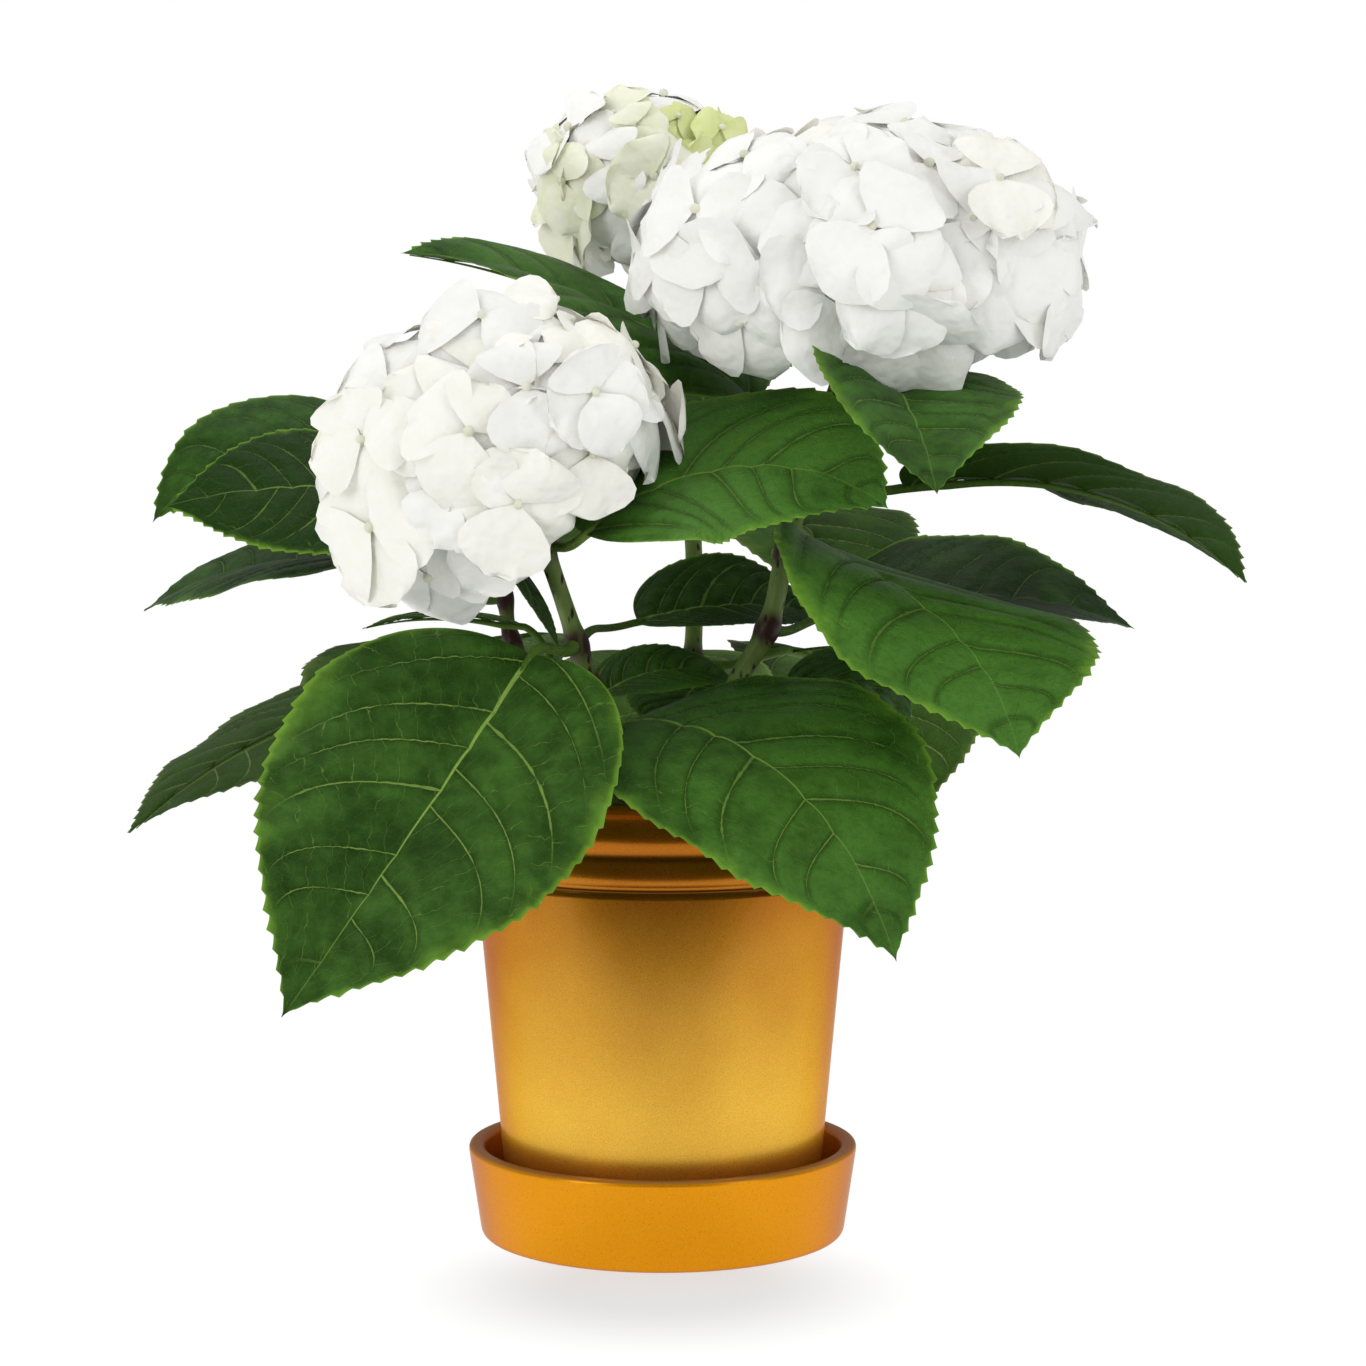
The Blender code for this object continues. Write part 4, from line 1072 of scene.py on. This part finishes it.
def leaf_material(name, dark, light, yellow_green_with_glow, vein, gloss, vein_share, vein_half):
    """A leaf face. vein_half is half a side vein's width in millimetres."""
    material, add, shader = new_material(name, IOR=1.45, Specular_IOR_Level=0.10)
    known = {label: add("Attribute", attribute_name=label, out="Fac")
             for label in ("across", "along", "spacing", "rung", "sun", "tone", "veined")}
    surface = add("UVMap", uv_map="surface")
    count = add("SeparateXYZ", surface, out="X")
    from_rib = add("Math", add("Math", add("SeparateXYZ", surface, out="Y"), 10.0, **TIMES),
                   **SIZE_OF)
    place = add("TexCoord", out="Object")
    cloud, patch, fine = [add("TexNoise", place, 1 / (size * MM), 3.0) for size in (26, 7, 2.2)]
    rib, side, side_gap, beside = rib_and_side_lines(add, known, count, from_rib, patch, vein_half)
    nets = [add("MapRange", add("TexVoronoi", place, 1 / size, feature="DISTANCE_TO_EDGE"),
                width, 0.0, **SMOOTH) for size, width in ((FINE_NET_SIZE, 0.10), (NET_SIZE, 0.055))]
    lines = [*nets, rung_lines(add, known, count, beside, cloud, patch), side]

    # The green: cloudy, with painted shade along the side veins, yellow towards the rim, partly
    # painted light through the margin.
    amount = add("Math", cloud, 0.9, known["tone"], **TIMES_PLUS)
    amount = add("Math", patch, 0.5, amount, **TIMES_PLUS)
    colour = add("Mix", add("MapRange", amount, 0.75, 1.65, **SMOOTH), linear(dark),
                 linear(light), **COLOURS)
    # Painted shade in the creases beside each side vein.
    painted_vein_shade = add("Math", add("MapRange", side_gap, 3.0, 0.4, **SMOOTH),
                 add("MapRange", known["across"], 1.0, 0.7, 0.0, 0.5, **SMOOTH), **TIMES)
    colour = add("Mix", painted_vein_shade, colour, linear(dark), **COLOURS)
    grain = add("MapRange", fine, 0.42, 0.85, 0.0, 0.3, **SMOOTH)
    colour = add("Mix", grain, colour, linear(dark), **COLOURS)
    # Towards the rim the green turns yellow: partly the leaf's own colour, partly painted light
    # shining through the margin.
    edge = add("Math", cloud, 0.5, known["across"], **TIMES_PLUS)
    edge = add("Math", add("MapRange", edge, 1.12, 1.35, **SMOOTH), known["sun"], **TIMES)
    colour = add("Mix", edge, colour, linear(yellow_green_with_glow), **COLOURS)
    hem = add("MapRange", known["across"], 0.955, 1.0, 0.0, 0.5, **SMOOTH)
    colour = add("Mix", hem, colour, linear(yellow_green_with_glow), **COLOURS)

    # The veins' colour over it, and their relief under the gloss.
    contrast = add("Math", known["veined"], vein_share, **TIMES)
    for line, strength in zip(lines, LINE_COLOURS):
        shown = add("Math", line, add("Math", contrast, strength, **TIMES), **TIMES)
        colour = add("Mix", shown, colour, linear(vein), **COLOURS)
    rib_strength = add("Math", add("Math", contrast, 0.6, 0.32, **TIMES_PLUS), vein_share, **TIMES)
    colour = add("Mix", add("Math", rib, rib_strength, **TIMES), colour, linear(vein), **COLOURS)
    relief = add("Math", patch, -3.4, add("Math", fine, -0.4, **TIMES), **TIMES_PLUS)
    for line, high in zip(lines, LINE_HEIGHTS):
        relief = add("Math", line, high, relief, **TIMES_PLUS)
    sign = -1.0 if gloss < 0.6 else 1.0
    bump = add("Bump", Height=add("Math", relief, sign, **TIMES), Distance=LEAF_BUMP, Strength=1.0)
    polish = add("MapRange", patch, 0, 1, gloss - 0.07, gloss + 0.09)
    fill(shader, Base_Color=colour, Roughness=polish, Normal=bump)
    return material


upper = leaf_material("waxy_leaf_face", "#1f3c0e", "#4e7e2e", "#7fae34", "#93b455",
                      0.38, 1.0, 0.21)
lower = leaf_material("matt_leaf_back", "#2c4a14", "#507a28", "#7c9448", "#9db46c",
                      0.66, 1.0, 0.4)
stalk_skin = leaf_material("leaf_stalk", "#4c6a26", "#84a04c", "#93a85c", "#9fb668",
                           0.45, 0.0, 0.3)
print("leaf finishes:", upper.name, lower.name, stalk_skin.name)

# %% [markdown]
# ## Make the leaves
#
# Each leaf is one sealed piece for the blade, joined with the tube of its stalk and midrib.
# The upper and lower grids share the points of their rim, so the shell has no open edge. The
# vein number jumps at the midrib, because the veins of one side stand a little ahead of the
# other side's, so each half gets its own strip of the surface map.

# %% Leaves
STALK_SIDES = 12


def make_leaf(leaf, seed):
    """One leaf: the blade's shell and the tube of its stalk, as one mesh."""
    top, below, w, count, numbers = leaf_surface(leaf, seed)
    index, under = shell_numbers(*w.shape)
    left, right = count[:, :COLUMNS + 1], count[:, COLUMNS:].copy()
    right[:, 0] = 2 * right[:, 1] - right[:, 2]
    surface = [cells(np.stack([left, w[:, :COLUMNS + 1] / (10 * MM)], axis=-1)),
               cells(np.stack([right, w[:, COLUMNS:] / (10 * MM)], axis=-1))]
    faces = [cells(index[:, :COLUMNS + 1]), cells(index[:, COLUMNS:])]
    backs = [cells(under[:, :COLUMNS + 1])[:, ::-1], cells(under[:, COLUMNS:])[:, ::-1]]
    path, radii = stalk_path(leaf)
    tube, tube_faces = tubes(path[None], radii[None], STALK_SIDES)
    points = np.vstack([top.reshape(-1, 3), below.reshape(-1, 3), tube])
    quads = np.vstack(faces + backs + [tube_faces + 2 * w.size])
    uv = np.vstack(surface + [part[:, ::-1] for part in surface]
                   + [np.full((len(tube_faces), 4, 2), 0.5)])
    face_count = sum(len(part) for part in faces)
    dealt = np.repeat([0, 1, 2], [face_count, face_count, len(tube_faces)])
    known = {label: np.concatenate([values.ravel(), values.ravel(), np.full(len(tube), 0.5)])
             for label, values in numbers.items()}
    for label in ("sun", "tone", "veined"):
        known[label] = np.full(len(points), getattr(leaf, label))
    return make_piece(leaf.name + "_blade", points, quads, [upper, lower, stalk_skin], uv, known,
                      dealt, sharp=70)


for seed, leaf in enumerate(LEAVES):
    settle(make_leaf(leaf, seed), "leaf", leaf.name)

# %% [markdown]
# ## Florets
#
# A mophead is made of sterile florets: four broad white sepals round a tiny bead, on a thin
# stalk. Their seats follow the rule of the plain solid: golden-angle steps spread them evenly
# over the dome, in three layers, and a floret that would touch a leaf or a stem is left out.
# Each faces away from the dome, more outward than upward and turned a little to the front,
# where the light comes from. A side of the dome can hang lower, stay bare, or be young.

# %% Seats of the florets
FLORET_LAYERS = (0.90, 0.82, 0.72)
FLORET_STRAY = 0.16               # how far a floret leans from the dome's own direction
FLORET_SPLAY = 1.3                # above 1 the florets face more outward than upward
FLORET_TURN = (0.0, -0.22, 0.0)   # florets turn a little to the bright front
YOUNG_SIDE = (0.66, -0.52, 0.54)  # direction in which the youngest florets stand
FLORET_SIZES = (0.86, 1.10)
YOUNG_SIZE = 0.60
BARE_EDGE = 0.69                  # cosine of the angle that stays bare round that direction
GOLDEN_ANGLE = math.pi * (3.0 - math.sqrt(5.0))


def bloom_axes(bloom):
    """Three square directions, the last one the way the dome faces."""
    facing = np.array(bloom.lean, dtype=float)
    facing /= np.linalg.norm(facing)
    side = np.cross((0.0, 1.0, 0.0), facing)
    side /= np.linalg.norm(side)
    return side, np.cross(facing, side), facing


def neighbour_points():
    """Points all over the blades and along the stems, which no floret may touch."""
    places = []
    for leaf in LEAVES:
        s, t = (grid.ravel() for grid in np.meshgrid(np.linspace(0, 1, 19),
                                                     np.linspace(-1, 1, 11)))
        rib, _, side, up = blade_frame(leaf, s)
        half = leaf.width * MM / 2
        w = t * half * outline(s)
        fold = math.radians(leaf.fold)
        lift = np.abs(w) * math.sin(fold) - leaf.cup * w ** 2 / half
        places.append(rib + (w * math.cos(fold))[:, None] * side + lift[:, None] * up)
    places += [smooth_path(stem.path)[:-4] for stem in STEMS]
    return np.vstack(places)


def floret_seats(bloom, draw):
    """Centre, outward direction, turn, size and youth of each floret.

    The i-th of n directions turns by i golden angles and falls evenly from the dome's top to
    its lowest ring: cos fall = 1 - (i + 1/2) / n (1 - cos wrap).
    """
    side, depth, facing = bloom_axes(bloom)
    radii = np.array(bloom.radii) * MM
    i = np.arange(bloom.florets)
    fall = 1 - (i + 0.5) / bloom.florets * (1 - math.cos(math.radians(bloom.wrap)))
    ring = np.sqrt(1 - fall ** 2)
    turn = i * GOLDEN_ANGLE
    way = (side * (ring * np.cos(turn))[:, None] + depth * (ring * np.sin(turn))[:, None]
           + facing * fall[:, None])
    layer = np.array(FLORET_LAYERS)[i % 3] * draw.uniform(0.97, 1.02, len(i))
    out = way * radii * layer[:, None]
    out[:, 2] += bloom.slump * np.minimum(out[:, 0], 0)
    spot = np.array(bloom.centre) * MM + out
    normal = way / radii * (FLORET_SPLAY, FLORET_SPLAY, 1.0)
    normal /= np.linalg.norm(normal, axis=1, keepdims=True)
    normal += draw.normal(0, FLORET_STRAY, normal.shape) + FLORET_TURN
    normal /= np.linalg.norm(normal, axis=1, keepdims=True)
    young = way @ np.array(YOUNG_SIDE) > 1 - bloom.youth
    size = bloom.floret_radius * MM * draw.uniform(*FLORET_SIZES, len(i))
    size *= np.where(young, YOUNG_SIZE, 1)
    gaps = np.linalg.norm(spot[:, None] - NEIGHBOURS, axis=2).min(axis=1)
    free = (gaps > size * 0.45) & (way @ np.array(bloom.bare) < BARE_EDGE)
    return spot[free], normal[free], turn[free], size[free], young[free]


NEIGHBOURS = neighbour_points()
print(len(NEIGHBOURS), "points to keep clear of")

# %% [markdown]
# ## Sepals
#
# Every sepal is a small shell, wide and rounded with a narrow claw, and no two are quite
# alike. All sepals of a head are worked out at once: the shape of one is a function of u
# along it and v across it, and each brings its own numbers, drawn by lot, as arrays that are
# broadcast over that grid. Its half width is a sine of u, raised to a power that rounds it
# and shifted so that it is widest beyond its middle. Its height over the floret's plane is
# how far it stands open, less a droop that grows as u squared, with a dome across it, a
# twist, a ruffle that grows towards the rim, and a tip that rolls up or back.

# %% Sepal shells
SEPAL_STEPS = (8, 7)              # grid points along and across a sepal
SEPAL_SAG = 0.16                  # how far a sepal's tip hangs down, share of its length
SEPAL_THICKNESS = 0.35 * MM
# The least and the most of each number that is drawn for a sepal, as shares of its length.
HALF_WIDTH = (0.58, 0.78)
WIDEST = (1.25, 1.6)              # power of u: above 1 it is widest beyond its middle
SKEW = (-0.10, 0.10)              # how much wider one side is
OPEN = (0.18, 0.52)               # slope at the claw, one number for a floret
DROOP = (0.30, 0.62)
DOME = (-0.30, 0.50)
TWIST = (-0.20, 0.20)
RUFFLE, RUFFLE_WAVES = (0.02, 0.10), (2.5, 6.0)
ROLL = (-0.25, 0.20)
REACH = (0.90, 1.06)
STRAY = (-0.16, 0.16)             # radians from its place in the cross of four
OVERLAP = np.array([0.05, -0.04, 0.05, -0.04])       # two sepals lie over the other two


def sepals(spot, normal, turn, size, draw):
    """Four sepals for every floret: points, faces and the number of faces of a floret."""
    count = len(spot)
    rows, columns = SEPAL_STEPS
    u, v = np.meshgrid(1 - np.linspace(1, 0, rows) ** 1.7, np.linspace(-1, 1, columns),
                       indexing="ij")

    def own(limits, each=4):
        return draw.uniform(*limits, (count, each, 1, 1))

    half = own(HALF_WIDTH) * np.sin(math.pi * u ** own(WIDEST)) ** 0.5
    across = half * (v + own(SKEW) * (1 - v ** 2))
    open_wide = own(OPEN, 1)
    droop, dome, twist = own(DROOP), own(DOME), own(TWIST)
    ruffle = own(RUFFLE) * np.sin(own(RUFFLE_WAVES) * v + own((0, 6.3))) * u ** 2
    height = (OVERLAP[:, None, None] + open_wide * u - droop * u ** 2 - dome * across ** 2
              + twist * across * u + ruffle + own(ROLL) * u ** 4)
    reach = own(REACH) * u * (1 - 0.10 * v ** 2)
    lean = math.pi / 2 * np.arange(4)[:, None, None] + turn[:, None, None, None] + own(STRAY)
    flat_x = reach * np.cos(lean) - across * np.sin(lean)
    flat_y = reach * np.sin(lean) + across * np.cos(lean)
    level = np.cross(normal, [0.31, 0.17, 0.93])
    level /= np.linalg.norm(level, axis=1, keepdims=True)
    scale = size[:, None, None, None, None]
    axes = [way[:, None, None, None] for way in (level, np.cross(normal, level), normal)]
    top = spot[:, None, None, None] + scale * (
        axes[0] * flat_x[..., None] + axes[1] * flat_y[..., None] + axes[2] * height[..., None])
    top[..., 2] -= scale[..., 0] * SEPAL_SAG * u ** 2
    full = np.clip((1 - np.abs(v)) * 3, 0, 1) * np.clip(u * 8, 0, 1) * np.clip((1 - u) * 5, 0, 1)
    below = top - axes[2] * (SEPAL_THICKNESS * full)[..., None]
    index, under = shell_numbers(rows, columns)
    one = np.vstack([cells(index), cells(under)[:, ::-1]])
    shift = np.arange(count * 4)[:, None, None] * 2 * rows * columns
    points = np.concatenate([top.reshape(count * 4, -1, 3), below.reshape(count * 4, -1, 3)], axis=1)
    return points.reshape(-1, 3), (one + shift).reshape(-1, 4), 4 * len(one)


# %% [markdown]
# ## Sepal finish
#
# A sepal is thin, damp plant tissue filled with air, which scatters light and so looks white
# with a silky, almost matt surface. Older ones are pure white, younger ones cream or
# greenish. Those tints are dealt out floret by floret, each as its own material, with a faint
# cloudiness in it. A bump adds the soft folds of the tissue and its fine grain.

# %% Sepal materials
FOLD_SIZE, GRAIN_SIZE = 6 * MM, 1.2 * MM
CREPE_DEPTH = 0.10 * MM           # of the grain; the folds are twelve times as deep


def sepal_material(name, bright, dim):
    """White plant tissue whose colour wanders between bright and dim."""
    material, add, shader = new_material(name, Roughness=0.6, IOR=1.38, Specular_IOR_Level=0.3)
    place = add("TexCoord", out="Object")
    tint = add("MapRange", add("TexNoise", place, 1 / (9 * MM), 2.0), 0.35, 0.75)
    colour = add("Mix", tint, linear(bright), linear(dim), **COLOURS)
    grain = add("TexNoise", place, 1 / GRAIN_SIZE, 2.0)
    height = add("Math", add("TexNoise", place, 1 / FOLD_SIZE, 1.0), 12.0, grain, **TIMES_PLUS)
    fill(shader, Base_Color=colour, Normal=add("Bump", Height=height, Distance=CREPE_DEPTH))
    return material


SEPAL_TINTS = [
    sepal_material("white_sepal", "#fdfdf9", "#f9f9f4"),
    sepal_material("soft_white_sepal", "#f9f9f5", "#f4f4f0"),
    sepal_material("cream_sepal", "#fdfcf5", "#faf9ee"),
    sepal_material("greenish_sepal", "#f6f6e4", "#edf0d0"),
    sepal_material("young_green_sepal", "#e6edb0", "#d3e08c"),
]
bead_skin = sepal_material("bead", "#eceedd", "#d8dcc0")
pedicel_skin = sepal_material("floret_stalk", "#c5cf92", "#97a65e")
print(len(SEPAL_TINTS), "tints of sepal")

# %% [markdown]
# ## Make the flower heads
#
# Each head has three pieces: its sepals, its beads, and the fine stalks that branch from the
# stem's tip through the head to every floret. A second shell of small pale florets fills the
# depth of the head, so that no gap looks through to the far side.

# %% Flower heads
# Share of the florets that have each tint of sepal, from white to green.
TINT_SHARES = {"bloom_left": (0.46, 0.16, 0.38, 0.0, 0.0),
               "bloom_right": (0.66, 0.30, 0.04, 0.0, 0.0),
               "bloom_back": (0.34, 0.0, 0.50, 0.16, 0.0)}
YOUNG_SHARES = (0.0, 0.0, 0.1, 0.4, 0.5)
INNER_SHARES = (0.0, 0.4, 0.4, 0.2, 0.0)
INNER_SHELL = 0.78                # size of the inner shell, share of the head's
INNER_FLORETS = 0.85              # size of its florets, share of the outer ones'
BEAD_RADII = (1.4 * MM, 1.9 * MM)            # of a young floret and of an open one
BEAD_LIFT = 2.0 * MM
HEAD_STALK_RADIUS = 2.7 * MM
FINE_STALK_RADII = (1.3 * MM, 0.7 * MM)      # in the middle of the head and at a floret


def head_stalks(bloom, ends):
    """Fine stalks to the ends of all florets, and the stout one that carries them.

    A fine stalk is a quadratic curve that first goes on in the stem's direction.
    """
    centre = np.array(bloom.centre) * MM
    tip = np.array(STEM_BY_NAME[bloom.stem].path[-1]) * MM
    t = np.linspace(0, 1, 7)[None, :, None]
    start = centre + (ends - centre)[:, None] * 0.12
    bow = centre + (ends - centre)[:, None] * 0.5 + (centre - tip) * 0.25
    fine = start * (1 - t) ** 2 + bow * 2 * t * (1 - t) + ends[:, None] * t ** 2
    branches = tubes(fine, np.linspace(*FINE_STALK_RADII, 7)[None] + 0 * fine[..., 0], 6)
    t = np.linspace(0, 1, 9)[:, None]
    trunk = tip - (centre - tip) * 0.05 + (centre - tip) * 1.05 * t
    return joined([branches, tubes(trunk[None], np.full((1, 9), HEAD_STALK_RADIUS), 14)])


def make_bloom(bloom, seed):
    """One flower head: its sepals, its beads and its stalks, as three pieces."""
    draw = np.random.default_rng(seed)
    spot, normal, turn, size, young = floret_seats(bloom, draw)
    inner = bloom._replace(florets=bloom.florets // 2,
                           radii=tuple(INNER_SHELL * radius for radius in bloom.radii),
                           floret_radius=bloom.floret_radius * INNER_FLORETS)
    spot2, normal2, turn2, size2, _ = floret_seats(inner, draw)
    tint = draw.choice(5, len(spot), p=TINT_SHARES[bloom.name])
    tint = np.where(young, draw.choice(5, len(spot), p=YOUNG_SHARES), tint)
    tint2 = draw.choice(5, len(spot2), p=INNER_SHARES)
    points, faces, each = sepals(np.vstack([spot, spot2]), np.vstack([normal, normal2]),
                                 np.concatenate([turn, turn2]) + draw.uniform(0, 6.3),
                                 np.concatenate([size, size2]), draw)
    dealt = np.repeat(np.concatenate([tint, tint2]), each)
    piece = make_piece(bloom.name + "_sepals", points, faces, SEPAL_TINTS, dealt=dealt, sharp=75)
    settle(piece, "petal", bloom.name)

    bead_radius = np.where(young, *BEAD_RADII)[:, None] * draw.uniform(0.85, 1.15, (len(spot), 3))
    beads = balls(spot + normal * BEAD_LIFT, bead_radius, 7, 10)
    settle(make_piece(bloom.name + "_beads", *beads, [bead_skin]), "petal")
    stalks = head_stalks(bloom, np.vstack([spot, spot2]))
    settle(make_piece(bloom.name + "_stalks", *stalks, [pedicel_skin]), "petal")


for seed, bloom in enumerate(BLOOMS):
    make_bloom(bloom, 40 + seed)
